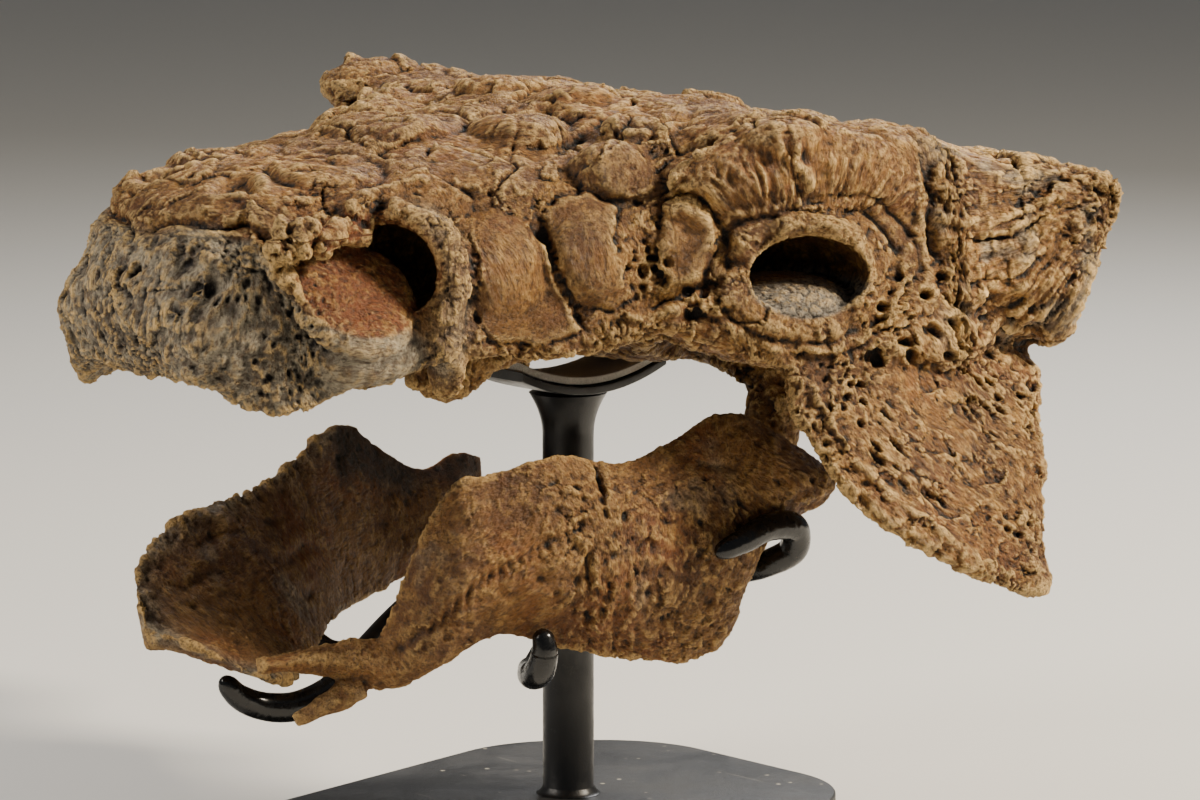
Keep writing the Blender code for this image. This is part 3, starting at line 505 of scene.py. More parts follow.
def orbitRim(side):
    # a ring of round section carried round an oval about the eye socket
    a, b = np.meshgrid(np.arange(72) * 2 * pi / 72, np.arange(20) * 2 * pi / 20, indexing="ij")
    thick = cranium["rimThickness"] * (1 + .18 * np.cos(a - 1.2))
    wide, high = cranium["rimRadii"]
    x = np.sin(b) * thick
    y = wide * np.cos(a) + np.cos(a) * np.cos(b) * thick
    z = high * np.sin(a) + np.sin(a) * np.cos(b) * thick
    turn = cranium["orbitTurn"]
    centre = np.array(cranium["orbit"]) + (-.002, -.008, 0)
    local = np.stack([x * cos(turn) - y * sin(turn), x * sin(turn) + y * cos(turn), z], -1)
    return mirrored(local + centre, side)


def sideForms(side):
    # everything on one side that grows out of the skull's skin
    turn = cranium["orbitTurn"]
    forms = [squamosalSkin(side), cheekSkin(side)]
    if side > 0:
        forms.append(blob((.158, .006, .367), (.02, .024, .012)))
    else:
        forms.append(blob((-.158, -.004, .371), (.022, .031, .013)))
        forms.append(blob((-.15, .036, .37), (.022, .022, .01)))
    forms.append(blob(mirrored((.164, .068, .357), side), (.018, .02, .012)))
    brow = ((.134, -.048, .338), (.15, -.024, .348), (.165, .01, .35), (.174, .044, .348),
            (.177, .076, .34))
    forms.append(bar(mirrored(brow, side), (.012, .019, .02, .019, .014), flatten=.62))
    for centre, radius in sidePlates:
        forms.append(blob(mirrored(centre, side), (.016, radius, radius), turn * side))
    for (x, y, top), radius in roofDomes:
        forms.append(blob((x * side, y, top - .012), (radius, radius, .012)))
    # behind the nostril, in front of it, and across the nape
    bars = ((((.086, -.186, .342), (.102, -.166, .325), (.105, -.161, .303), (.102, -.165, .275),
              (.102, -.156, .259), (.1, -.154, .254)), (.006, .009, .01, .009, .008, .004)),
            (((.06, -.252, .324), (.078, -.24, .31), (.087, -.224, .29), (.092, -.2, .276),
              (.098, -.172, .272)), (.003, .005, .005, .005, .004)),
            (((.02, .138, .304), (.08, .142, .3), (.15, .142, .292)), (.018, .014, .017)))
    for route, radii in bars:
        forms.append(bar(mirrored(route, side), radii))
    if side > 0:
        toothRow = ((.072, -.16, .258), (.078, -.144, .248), (.084, -.122, .262), (.094, -.07, .27))
        forms.append(bar(toothRow, (.008, .01, .01, .008), flatten=.8))
    else:
        top, wide, long = .29, .009, .026
        for x, y, low in ((-.062, -.152, .25), (-.062, -.125, .226), (-.064, -.08, .224),
                          (-.074, -.04, .248)):
            forms.append(blob((x, y, .5 * (low + top)), (wide, long, .5 * (top - low))))
    forms.append(blob(mirrored((.094, -.156, .257), side), (.01, .008, .012)))
    return forms


openings = (("orbit", "orbitRadii", cranium["orbitTurn"]), ("naris", "narisRadii", radians(-18)),
            ("narisDepth", "narisDepthRadii", radians(-30)))


def sideHollows(side):
    # the openings, the space for the jaw's muscles, two hollows of the nape and the nostril's front corner
    grids = [blob(mirrored(cranium[at], side), cranium[radii], turn * side) for at, radii, turn in openings]
    for centre, radii in ((cranium["jawSpace"], cranium["jawSpaceRadii"]),
                          ((.066, .166, .326), (.052, .026, .011)), ((.082, .16, .266), (.052, .034, .017)),
                          ((.09, -.246, .317), (.012, .01, .011))):
        grids.append(blob(mirrored(centre, side), radii))
    return grids


def innerForms(side):
    # what stands inside the hollows: quadrate, pterygoid, the stone left in the eye socket, the nostril's floor
    # and the ledge under it, and on the left the crumbs of the broken edge
    quadrate = ((.088, .062, .285), (.104, .05, .25), (.109, .045, .222), (.106, .046, .202))
    pterygoid = ((.02, .04, .254), (.064, .04, .256), (.104, .038, .246))
    ledge = ((.062, -.256, .28), (.0775, -.234, .271), (.0895, -.207, .2685), (.0895, -.177, .27),
             (.088, -.16, .274))
    count = 4 if side > 0 else 3   # the right quadrate has lost its foot
    forms = [bar(mirrored(quadrate[:count], side), (.02, .017, .014, .012)[:count]),
             bar(mirrored(pterygoid, side), (.012, .012, .014)),
             blob(mirrored((.146, .014, .284), side), (.036, .036, .0145), cranium["orbitTurn"] * side),
             slab(mirrored((.0825, -.2035, .2965), side), (.79 * side, -.05, .62), .0345, .008),
             bar(mirrored(ledge, side), (.006, .0085, .0132, .0125, .01))]
    if side > 0:
        chance = np.random.default_rng(57)
        along = np.linspace(tornEdge[0][0], tornEdge[-1][0], 34)
        for x, z, y in zip(*columnsAt(tornEdge, along), along):
            radii = chance.uniform(.0035, .0075) * chance.uniform(.6, 1.2, 3)
            centre = np.array((x, y, z)) + chance.normal(0, (.002, .003, .0055))
            forms.append(blob(centre, radii, chance.uniform(0, 3)))
    return forms


def buildCranium():
    forms = [craniumSkin(), bar(((0, -.19, .274), (0, -.16, .264), (0, -.11, .26), (0, -.06, .257),
                                 (0, -.02, .252)), (.008, .01, .011, .012, .01)),
             blob((0, .152, .264), (.021, .019, .016))]
    for side in (1, -1):
        forms += sideForms(side)
    whole = objectOf(meshFrom(forms, "cranium"), "cranium")
    rims = objectOf(meshFrom([orbitRim(1), orbitRim(-1)], "rims", looped=True), "rims")
    whole = ease(melt(joined(whole, rims), .002), 8)
    hollows = [blob((0, .15, .296), (.015, .044, .013))] + sideHollows(1) + sideHollows(-1)
    tool = melt(objectOf(meshFrom(hollows, "hollows"), "hollows"), .0016)
    cut(whole, ease(tool, 2), "DIFFERENCE")
    inner = objectOf(meshFrom(innerForms(1) + innerForms(-1), "inner"), "inner")
    return ease(melt(joined(whole, inner), boneStep), 3)


# the cranium's relief: places are given for the left side

# route, width and depth, in metres
grooves = (
    (((-.03, -.279, .313), (0.0, -.273, .324), (.018, -.265, .332), (.041, -.258, .335),
     (.059, -.247, .333), (.068, -.24, .324)), .0026, .0055),
    (((.172, .08, .366), (.18, .083, .35), (.185, .083, .318), (.189, .084, .291), (.191, .099, .277),
     (.192, .127, .27), (.193, .15, .26)), .0036, .006),
    (((.136, -.058, .342), (.148, -.041, .338), (.158, -.029, .322), (.16, -.029, .306)), .0028, .0058),
    (((.141, -.067, .29), (.15, -.048, .292), (.16, -.034, .3)), .0036, .0062),
    (((.104, -.16, .338), (.11, -.152, .32), (.113, -.149, .3), (.112, -.148, .272)), .0024, .0034),
    (((.125, -.08, .279), (.14, -.06, .282), (.162, -.028, .277), (.18, 0.0, .262)), .0032, .0036),
    (((.027, -.138, .365), (.03, -.12, .367), (.028, -.104, .369)), .0026, .005),
    (((.028, -.092, .372), (.03, -.078, .374), (.042, -.056, .376), (.06, -.05, .374)), .003, .005),
    (((.078, -.048, .372), (.084, -.062, .368), (.088, -.08, .362)), .0032, .0045),
    (((.134, -.052, .345), (.128, -.046, .362), (.137, -.03, .364), (.15, -.022, .358)), .0032, .006),
    (((.183, .096, .312), (.19, .114, .31), (.198, .14, .316), (.206, .165, .325)), .002, .0032),
    (((.19, .104, .288), (.198, .132, .296), (.204, .158, .309)), .0018, .0024),
    (((.196, .14, .276), (.203, .16, .292), (.206, .172, .31)), .0018, .0024),
)
# route, width and height, in metres
ridges = (
    (((.058, -.252, .336), (.064, -.244, .328), (.086, -.238, .304), (.084, -.214, .287),
     (.096, -.18, .28)), .002, .0026),
    (((.06, -.246, .34), (.042, -.253, .341), (.018, -.26, .338), (-.004, -.268, .33)), .0024, .0012),
    (((.166, -.012, .384), (.171, -.006, .368), (.175, .002, .352), (.181, .01, .34)), .003, .0034),
    (((.152, -.024, .374), (.166, -.012, .382)), .003, .0024),
    (((.182, 0.0, .25), (.194, .009, .229), (.205, .013, .209), (.218, .029, .186), (.231, .057, .168),
     (.24, .086, .15)), .0021, .004),
    (((.187, .088, .322), (.192, .113, .322), (.201, .147, .328), (.208, .183, .338)), .004, .0022),
    (((.094, -.17, .345), (.104, -.14, .341), (.108, -.124, .338), (.117, -.113, .32), (.122, -.107, .3),
     (.129, -.098, .276)), .0022, .0036),
    (((.01, -.2, .356), (.045, -.214, .352), (.075, -.196, .348), (.082, -.16, .352)), .003, .0026),
    (((.118, -.086, .268), (.137, -.062, .271), (.158, -.03, .266), (.178, 0.0, .254)), .004, .0022),
    (((.139, -.06, .336), (.149, -.044, .333), (.156, -.034, .319), (.156, -.036, .305)), .0018, .002),
)
# plates of bone with an even face: the outline as seen from the left, 50 degrees off the front (distance
# back across that view, and height), how far the face stands out, its slope back and up, and the depth of
# the crevice round it; the last one is the even bone under the nostril
viewCos, viewSin = .643, .766
plates = (
    (((-.047, .34), (-.03, .338), (-.019, .331), (-.01, .319), (-.005, .305), (.003, .286), (.009, .277),
     (-.01, .27), (-.032, .272), (-.041, .285), (-.042, .309), (-.047, .327)), .0006, .07, 0.0, .0012),
    (((-.013, .335), (-.003, .341), (.012, .342), (.025, .336), (.024, .321), (.029, .308), (.033, .294),
     (.022, .286), (.006, .289), (-.002, .306), (-.007, .321)), .0014, .03, .03, .0016),
    (((.048, .338), (.06, .338), (.07, .333), (.074, .319), (.071, .306), (.063, .297), (.05, .297),
     (.044, .309), (.046, .324)), .0018, .08, 0.0, .0018),
    (((.048, .344), (.061, .357), (.076, .366), (.087, .372), (.104, .373), (.109, .36), (.113, .346),
     (.118, .335), (.101, .33), (.088, .321), (.079, .309), (.073, .325), (.061, .337)),
     0.0, .07, 0.0, 0.0),
    (((.106, .374), (.115, .379), (.141, .371), (.167, .368), (.175, .353), (.177, .331), (.174, .314),
     (.164, .303), (.156, .317), (.143, .331), (.121, .337), (.112, .355)), -.0004, -.02, .04, 0.0),
    (((.016, .358), (.027, .369), (.037, .366), (.043, .358), (.047, .345), (.037, .34), (.023, .341),
     (.015, .346)), .0014, 0.0, .02, .0008),
    (((-.172, .316), (-.14, .307), (-.125, .291), (-.068, .281), (-.07, .255), (-.148, .245),
     (-.178, .262)), 0.0, 0.0, 0.0, 0.0),
)
# the nostril's hollow in the same view
fossa = (
    (-.148, .336), (-.14, .31), (-.125, .293), (-.117, .288), (-.082, .281), (-.068, .286), (-.063, .299),
    (-.065, .319), (-.082, .334), (-.096, .348), (-.122, .348), (-.139, .343),
)
scallops = (
    (.18, .158, .252), (.195, .153, .228), (.206, .141, .206), (.214, .136, .19), (.225, .128, .174),
    (.234, .122, .158), (.243, .11, .143),
)
# where the bone's grain runs one way: the middle, the reach, the way it runs and the share kept along it
grains = (
    ((.106, -.138, .306), .03, (.25, .33, -.91), .2), ((.124, -.088, .312), .022, (.05, .18, -.98), .22),
    ((.214, .06, .205), .075, (.41, .6, -.69), .3), ((.04, -.268, .296), .04, (-.2, -.3, -.93), .24),
    ((.092, -.205, .268), .03, (.3, .94, -.1), .18), ((.188, .085, .275), .024, (.02, -.36, .93), .3),
    ((.145, -.045, .264), .03, (.55, .8, -.15), .25), ((.03, -.205, .356), .05, (.5, .85, .15), .25),
    ((.062, -.11, .368), .045, (.85, .5, .05), .3), ((.045, -.01, .382), .055, (.6, .8, 0.0), .3),
    ((.06, .085, .366), .045, (.9, -.4, 0.0), .3),
)
# the same, spreading from a point: the point, how far from it, the band's width, and the share kept
fans = (((.168, .012, .292), .062, .026, .16), ((.216, .196, .337), .075, .062, .14))


def flowAlong(points, table):
    # the points with distances along the bone's grain made shorter, so that patterns read there follow it
    flow = points.copy()
    for middle, reach, along, share in table:
        along = np.array(along) / np.linalg.norm(along)
        weight = bell(points, middle, reach, 4) * (1 - share)
        flow -= (weight * ((points - middle) @ along))[:, None] * along
    return flow


def flowOf(points):
    # the same with the fans added, where it is distances from a point that are made shorter
    side = sideOf(points)
    flow = flowAlong(side, grains)
    for middle, reach, width, share in fans:
        gap = side - middle
        far = lengths(gap)
        weight = np.exp(-((far - reach) / width)**4) * (1 - share)
        weight *= blend(.318, .332, side[:, 2]) if reach < .07 else blend(.09, .105, side[:, 1])
        flow -= (weight * (far - reach) / far)[:, None] * gap
    flow[:, 0] = np.where(points[:, 0] < 0, -flow[:, 0], flow[:, 0])
    return flow


def viewOf(side):
    # the two distances in which the plates' outlines are given
    return viewCos * side[:, 0] + viewSin * side[:, 1], side[:, 2]


def within(u, v, outline):
    # distance to a closed outline, more than nothing inside it
    gap = np.full(len(u), 1.0)
    inside = np.zeros(len(u), bool)
    for (a, b), (c, d) in zip(outline, outline[1:] + outline[:1]):
        t = np.clip(((u - a) * (c - a) + (v - b) * (d - b)) / ((c - a)**2 + (d - b)**2), 0, 1)
        gap = np.minimum(gap, np.hypot(u - a - t * (c - a), v - b - t * (d - b)))
        if b != d:
            inside ^= ((b > v) != (d > v)) & (u < a + (v - b) * (c - a) / (d - b))
    return np.where(inside, gap, -gap)


def plateForms(side, outward):
    # the height of the plates with the crevices round them, and 1 on their even faces
    height, even = np.zeros(len(side)), np.zeros(len(side))
    some = (outward > .01) & (side[:, 1] < .1) & (side[:, 0] > .05) & (side[:, 2] > .24)
    broken = .35 + blend(-.4, .4, lumps(side[some], .016, 54))
    u, v = viewOf(side[some])
    for outline, rise, back, up, crevice in plates:
        middle = np.mean(outline, axis=0)
        deep = within(u, v, outline)
        share = blend(-.0004, .0026, deep)
        face = share * (rise + back * (u - middle[0]) + up * (v - middle[1]))
        valley = (crevice * ringAt(deep, -.001, .0014) + .7 * crevice * ringAt(deep, -.004, .004)) * broken
        height[some] += (face - valley) * outward[some]
        even[some] = np.maximum(even[some], share * outward[some])
    return height, even


def orbitShare(side):
    # distance from the eye socket's middle in its own plane, 1 on the opening's edge
    x, y, z = (side - cranium["orbit"]).T
    along = y * cos(cranium["orbitTurn"]) - x * sin(cranium["orbitTurn"])
    return np.hypot(along / cranium["openingRadii"][0], z / cranium["openingRadii"][1]), along


def sculptCranium(piece):
    # big forms first, then with fresh normals the fine ones; relief and grain are painted on at the end
    start = pointsOf(piece)
    normals = normalsOf(piece)
    wander = .0035 * wanderOf(start, .022, 1) + .0014 * wanderOf(start, .007, 4)
    warped = start + wander
    side = sideOf(warped)
    inside = insideHollows(start)
    x, y, z = start.T
    free = blend(.05, .06, np.abs(y)) + blend(.022, .03, np.abs(x)) + blend(.25, .258, z)
    free = np.clip(free, 0, 1) * (1 - .8 * inside)   # nothing over the cradle, and little in the hollows
    outward = blend(.1, .4, viewSin * np.abs(normals[:, 0]) - viewCos * normals[:, 1]) * (1 - inside)
    plateHeight, even = plateForms(sideOf(start + .6 * wander), outward)
    height = plateHeight + .0012 * rough(start, .03, 31, 2)
    height = height + .0008 * creases(warped, .014, 36, 2) * (1 - .7 * even)
    height += .0018 * chips(warped, .02, 38) * (1 - .9 * even)
    roof = blend(.3, .6, normals[:, 2]) * blend(.33, .35, start[:, 2])
    for (x, y, top), radius in roofDomes:
        share = np.hypot(side[:, 0] - x, side[:, 1] - y) / (.86 * radius)
        height += roof * (.001 * blend(1.0, .75, share) - .0016 * ringAt(share, 1.06, .1))
    first, second, tilted = cells(warped, .034, 21)
    gaps = blend(-.25, .35, lumps(start, .024, 58))
    height += roof * (.003 * tilted - .0034 * gaps * ringAt(second - first, 0, .06)) * (1 - even)
    share, along = orbitShare(side)
    onSide = blend(.105, .125, side[:, 0]) * blend(.245, .252, side[:, 2]) * blend(2.4, 2.0, share)
    height += onSide * (.001 * ringAt(share, 1.22, .16) - .0018 * ringAt(share, 1.52, .08))
    behind = blend(0, .02, along)
    height += onSide * (.0008 * ringAt(share, 1.72, .09) - .0016 * behind * ringAt(share, 1.9, .06))
    for route, width, depth in grooves:
        height -= depth * nearLine(side, route, width) * (.8 + .4 * lumps(start, .012, 46))
    for route, width, rise in ridges:
        height += rise * nearLine(side, route, width) * (.8 + .4 * lumps(start, .009, 47))
    share = lengths((side - (.031, -.236, .35)) / (.017, .013, .013))
    height += .0016 * ringAt(share, 1.15, .22) - .005 * blend(1.0, .5, share)
    edge = nearLine(side, scallops, .011)
    height += edge * (.0036 * lumps(start, .014, 48) + .0016 * lumps(start, .006, 49))
    height -= height[free > .9].mean()
    height *= free
    torn = nearLine(start, ((.08, -.243, .328), (.084, -.226, .327), (.08, -.198, .334)), .014)
    height += torn * .0022 * chips(warped, .0065, 56)
    stone = inside * blend(-.06, -.05, start[:, 1])
    first, second, _ = cells(start, .0065, 50)
    height -= .0008 * stone * blend(.3, .294, start[:, 2]) * np.exp(-((second - first) / .12)**2)
    middle = raised(piece, start, height)
    side = sideOf(middle)
    flow = flowOf(middle + .6 * wander)
    crusty = (1 - .85 * even) * (1 - .55 * blend(.45, .75, normalsOf(piece)[:, 2]))
    fine = .0003 * creases(flow, .0046, 41, 2) * (1 - .4 * even) + .00016 * rough(middle, .0034, 44, 2)
    moved = middle + wander
    fine += .00085 * chips(moved, .0088, 45) * crusty + .00045 * chips(moved, .0048, 51) * crusty
    gaps = blend(.05, .6, lumps(middle, .012, 52)) * blend(.16, .02, edgeOf(middle, .006, 53))
    fine -= .0009 * crusty * gaps
    fine += runsOf(flow, side) - pitsOf(middle, flow, side)
    fine *= 1.2 * np.clip(free + .4, 0, 1)
    raised(piece, middle, fine)
    paintRelief(piece)
    paintFlow(piece, flow)


def insideHollows(points):
    # 1 within the eye sockets and nostrils, 0 outside
    side = sideOf(points)
    inside = np.zeros(len(points))
    for at, radii, turn in openings:
        x, y, z = (side - cranium[at]).T
        x, y = x * cos(turn) + y * sin(turn), -x * sin(turn) + y * cos(turn)
        wide, long, high = cranium[radii]
        share = np.sqrt((x / wide)**2 + (y / long)**2 + (z / high)**2)
        inside = np.maximum(inside, blend(1.12, 1.02, share))
    return inside


def pitsOf(points, flow, side):
    # small deep holes where the bone has them, round random middles of a pattern stretched with the grain
    x, y, z = side.T
    horn = blend(.264, .248, z) * blend(.15, .165, x) * blend(.15, .178, z)
    horn *= blend(-.2, .3, lumps(points, .028, 62))
    horn *= 1 - nearLine(side, ridges[4][0], .012)
    depth = pits(horn, flow, .0062, 61, .0036, .44, .2)
    behind = blend(.03, .05, y) * blend(.105, .09, y) * blend(.248, .256, z) * blend(.305, .285, z)
    behind += .8 * blend(.085, .1, y) * blend(.165, .14, y) * blend(.25, .258, z) * blend(.282, .268, z)
    behind *= blend(.15, .17, x)
    depth += pits(behind, flow, .0085, 63, .005, .48, .25)
    crumbs = bell(side, (.137, -.066, .308), .013, 4) + .8 * bell(side, (.152, -.04, .288), .011, 4)
    depth += pits(crumbs, points, .0065, 68, .004, .5, .25)
    snout = blend(-.2, -.222, y) * blend(.34, .326, z) * blend(-.4, .3, lumps(points, .02, 65))
    depth += pits(snout, flow, .0064, 64, .0018, .36, .15)
    for centre, radius, deep in (((.046, -.281, .293), .003, .006), ((.04, -.272, .316), .007, .0042),
                                 ((.053, -.268, .304), .006, .0042), ((.022, -.276, .302), .004, .0036)):
        depth += deep * bell(side, centre, radius)
    return depth + .0007 * blend(.16, .08, cells(points, .015, 66)[0])


def runsOf(flow, side):
    # furrows along the grain: on the squamosal horn, the beak's front and the cheek horn
    x, y, z = side.T
    horn = blend(.082, .1, y) * blend(.15, .165, x) * blend(.256, .264, z)
    beak = blend(-.215, -.236, y) * blend(.335, .322, z)
    cheek = blend(.252, .24, z) * blend(.15, .165, x)
    brow = ringAt(lengths(side - fans[0][0]), .06, .03) * blend(.322, .334, z)
    runs = .0014 * horn * creases(flow, .0064, 71, 2) + .0009 * beak * creases(flow, .0056, 73, 2)
    return runs + .0004 * cheek * creases(flow, .0045, 77, 2) + .0009 * brow * creases(flow, .004, 79, 2)


# tints painted on the bone: grey weathering, iron stain, the stone in the eye sockets, and painted shadow deep in
# the nostrils

def tintCranium(piece):
    points = pointsOf(piece)
    side = sideOf(points)
    x, y, z = side.T
    drift = lumps(points, .03, 81) * .01 + lumps(points, .011, 82) * .006
    premaxilla = blend(.336, .326, z + drift - .35 * np.clip(-.262 - y, 0, 1))
    premaxilla *= blend(-.176, -.19, y + drift)
    rim = nearLine(side, ((.1, -.168, .335), (.106, -.161, .303), (.103, -.163, .262)), .01)
    patches = blend(.25, .6, lumps(points, .017, 83) + .3 * lumps(points, .006, 84)) * blend(.07, .095, y)
    premaxilla *= 1 - blend(-.002, .003, within(*viewOf(side), fossa))
    grey = np.clip(premaxilla + .8 * rim + .7 * patches * blend(.25, .262, z), 0, 1)
    hollow = insideHollows(points)
    naris = blend(.05, .04, lengths(side - cranium["naris"]))
    iron = np.clip(hollow * naris * 1.2 + .35 * blend(.2, .7, lumps(points, .022, 85)), 0, 1)
    stone = hollow * blend(-.06, -.05, y) * blend(.3, .294, z + drift * .3)
    paint(piece, "grey", grey * (1 - hollow * naris))
    # painted shadow deep in the nostril's rear cavity, under its rim: the relief is lowered so the material
    # darkens it, and the iron stain is taken out there
    nostrilShadow = hollow * naris * blend(.08, .068, x) * blend(-.196, -.186, y)
    paint(piece, "relief", painted(piece, "relief") * (1 - .92 * nostrilShadow))
    paint(piece, "iron", iron * (1 - nostrilShadow))
    paint(piece, "stone", stone)


def finish(piece, material, nodes, sharpAngle):
    # smooth faces with edges sharp above an angle in degrees, the material, and the frame's words
    piece.data.polygons.foreach_set("use_smooth", np.ones(len(piece.data.polygons), bool))
    piece.data.set_sharp_from_angle(angle=radians(sharpAngle))
    piece.data.materials.clear()
    piece.data.materials.append(material)
    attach(piece, "root")
    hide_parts(*nodes)


def finishBone(piece, material, nodes, tint):
    # a middling relief on the cut faces, where it was never painted, and then the tints
    relief = painted(piece, "relief")
    paint(piece, "relief", np.where(relief < .01, .45, relief))
    tint(piece)
    finish(piece, material, nodes, 62)
    print(piece.name, len(piece.data.polygons), "faces")


def partOff(whole, low, high, name):
    # the bone within a box becomes a piece of its own, and leaves the rest
    piece = objectOf(whole.data.copy(), name)
    region = boxObject(low, high)
    cut(piece, region, "INTERSECT", keepTool=True)
    cut(whole, region, "DIFFERENCE")
    piece.name = name
    return piece


def largestOnly(piece):
    # drops the loose crumbs: points take the lowest number among their neighbours until nothing changes
    edges = np.zeros(len(piece.data.edges) * 2, np.int32)
    piece.data.edges.foreach_get("vertices", edges)
    a, b = edges.reshape(-1, 2).T
    group = np.arange(len(piece.data.vertices))
    while True:
        low = np.minimum(group[a], group[b])
        fresh = group.copy()
        np.minimum.at(fresh, a, low)
        np.minimum.at(fresh, b, low)
        fresh = fresh[fresh]
        if np.array_equal(fresh, group):
            break
        group = fresh
    kept = group == np.bincount(group).argmax()
    if kept.all():
        return piece
    bm = bmesh.new()
    bm.from_mesh(piece.data)
    bm.verts.ensure_lookup_table()
    bmesh.ops.delete(bm, geom=[bm.verts[i] for i in np.nonzero(~kept)[0]], context="VERTS")
    bm.to_mesh(piece.data)
    bm.free()
    return piece


# the lower jaw

jaws = {
    "left": ((-.229, .033, .117, .034, .108, .005), (-.21, .044, .12, .047, .108, .007),
        (-.19, .06, .126, .062, .103, .008), (-.177, .073, .134, .074, .099, .009),
        (-.17, .086, .17, .081, .102, .009), (-.16, .097, .197, .09, .11, .0095),
        (-.138, .106, .207, .102, .124, .01), (-.1, .118, .214, .116, .118, .011),
        (-.068, .124, .209, .127, .111, .0115), (-.03, .129, .222, .134, .106, .012),
        (-.01, .131, .229, .136, .116, .012), (.006, .132, .226, .136, .15, .012),
        (.034, .134, .21, .137, .171, .011), (.048, .135, .2, .138, .176, .0095),
        (.053, .135, .194, .138, .182, .006)),
    "right": ((-.253, -.022, .131, -.012, .127, .0045), (-.244, -.044, .144, .002, .121, .006),
        (-.231, -.056, .156, .014, .112, .007), (-.212, -.065, .165, .018, .102, .008),
        (-.17, -.079, .174, -.004, .095, .008), (-.12, -.1, .177, -.055, .099, .0085),
        (-.09, -.114, .186, -.084, .1, .01), (-.06, -.13, .194, -.108, .102, .0115),
        (-.036, -.138, .193, -.122, .103, .0125), (-.01, -.142, .176, -.132, .106, .0125),
        (.02, -.145, .163, -.139, .122, .012), (.044, -.146, .17, -.143, .142, .01),
        (.06, -.146, .166, -.144, .152, .006)),
    "bulge": .006,
    "scoopBulge": .012,
    "spur": ((.064, -.186, .103), (.057, -.202, .093), (.05, -.216, .086)),
}


def jawSkin(rows, side):
    # a bowed plate between its top and bottom edges, as flattened rings along the jaw
    y = np.linspace(rows[0][0], rows[-1][0], 240)[:, None]
    topX, topZ, lowX, lowZ, half = [column for column in columnsAt(rows, y)]
    scoop = np.clip((-.15 - y) / .06, 0, 1) if side < 0 else 0.0
    bulge = jaws["bulge"] + (jaws["scoopBulge"] - jaws["bulge"]) * scoop
    rise = np.hypot(topX - lowX, topZ - lowZ)
    a = np.arange(72)[None] * 2 * pi / 72
    along = .5 + .5 * np.sin(a)
    aside = (np.cos(a) * half * (.75 + .25 * np.cos(2 * a)) + bulge * 4 * along * (1 - along)) * side
    x = lowX + (topX - lowX) * along + aside * (topZ - lowZ) / rise
    z = lowZ + (topZ - lowZ) * along - aside * (topX - lowX) / rise
    return np.stack([x, np.broadcast_to(y, x.shape), z], -1)


# as for the cranium: the left ramus before and behind its seam, and the inside of the right one
jawGrains = (
    ((.104, -.13, .165), .05, (.35, .75, .55), .3), ((.128, -.05, .16), .042, (.05, -.3, -.95), .4),
    ((.136, .015, .195), .035, (.1, .85, -.5), .3), ((-.06, -.17, .135), .055, (-.45, .85, .25), .22),
    ((-.02, -.225, .13), .03, (-.8, -.2, .55), .3), ((-.115, -.06, .15), .05, (-.45, .88, .1), .25),
)


def sculptJaw(piece):
    # lumps and creases all over, a seam with a row of ribs on the left half, and rugged bone behind it
    start = pointsOf(piece)
    wander = .003 * wanderOf(start, .018, 101)
    warped = start + wander
    x, y, z = start.T
    left = blend(.02, .03, x)
    rugged = left * blend(-.125, -.1, y + .3 * (z - .16)) * blend(.206, .186, z + .1 * y)
    height = .0008 * rough(start, .026, 111, 3) + .0004 * creases(warped, .011, 115, 2)
    height += .0008 * chips(warped, .015, 116) * (.5 + .8 * rugged)
    seam = ((.125, -.086, .208), (.131, -.088, .19), (.134, -.098, .164), (.13, -.094, .135),
            (.127, -.09, .112))
    height -= .0026 * nearLine(warped, seam, .002)
    height += .0012 * nearLine(warped, tuple((x - .001, y + .006, z) for x, y, z in seam), .004)
    groove = ((.132, -.102, .18), (.122, -.128, .168), (.114, -.151, .156), (.101, -.168, .135),
              (.084, -.18, .122))
    ribs = nearLine(start, groove, .0036) * left
    height -= .0014 * nearLine(start, groove, .003) * left
    height -= .0012 * ribs * (.5 + .5 * np.sin(y * 2 * pi / .0046 + 2 * lumps(start, .01, 117)))
    edge = rimOf(start)
    height += .0026 * edge * lumps(start, .01, 118) + .0016 * edge * lumps(start, .005, 119)
    for route, width, depth in jawFurrows:
        height -= depth * nearLine(warped, route, width)
    height -= height.mean()
    middle = raised(piece, start, height)
    flow = flowAlong(middle + .6 * wander, jawGrains)
    fine = .00018 * creases(flow, .0046, 121, 2) + .00015 * rough(middle, .003, 123, 2)
    fine += .00045 * chips(middle + wander, .008, 124) * (1 + rugged)
    fine += .00025 * chips(middle + wander, .0046, 126) * (1 + rugged)
    fine += .00075 * rugged * creases(flow, .0064, 125, 2)
    fine -= pits(rugged, flow, .0105, 127, .0012, .34, .15)
    fine += .0004 * edge * creases(middle, .0046, 129, 2)
    fine -= .001 * blend(.22, .08, cells(middle, .015, 131)[0])
    raised(piece, middle, fine)
    paintRelief(piece)
    paintFlow(piece, flow)


# long furrows: inside the right half, on the left half's coronoid and along its lower front
jawFurrows = (
    (((-.04, -.215, .14), (-.062, -.15, .14), (-.09, -.09, .14), (-.125, -.02, .14)), .004, .0026),
    (((-.03, -.222, .125), (-.04, -.17, .12), (-.075, -.11, .122)), .0035, .0022),
    (((-.052, -.205, .158), (-.072, -.16, .16), (-.094, -.11, .16)), .003, .0018),
    (((.126, -.07, .196), (.136, -.035, .19), (.142, -.002, .18)), .004, .0024),
    (((.14, -.03, .205), (.143, -.005, .2), (.142, .025, .188)), .003, .0018),
)


def rimOf(points):
    # 1 along the scoop's upper rim and front edge, where the bone is broken and weathered
    rim = ((-.022, -.25, .131), (-.044, -.244, .144), (-.056, -.231, .156), (-.065, -.212, .165),
           (-.079, -.17, .174), (-.1, -.12, .177), (-.114, -.09, .186), (-.13, -.06, .194))
    low = ((-.012, -.25, .127), (.002, -.244, .121), (.014, -.231, .112), (.018, -.212, .102),
           (-.004, -.17, .095))
    return np.clip(nearLine(points, rim, .01) + nearLine(points, low, .009), 0, 1)


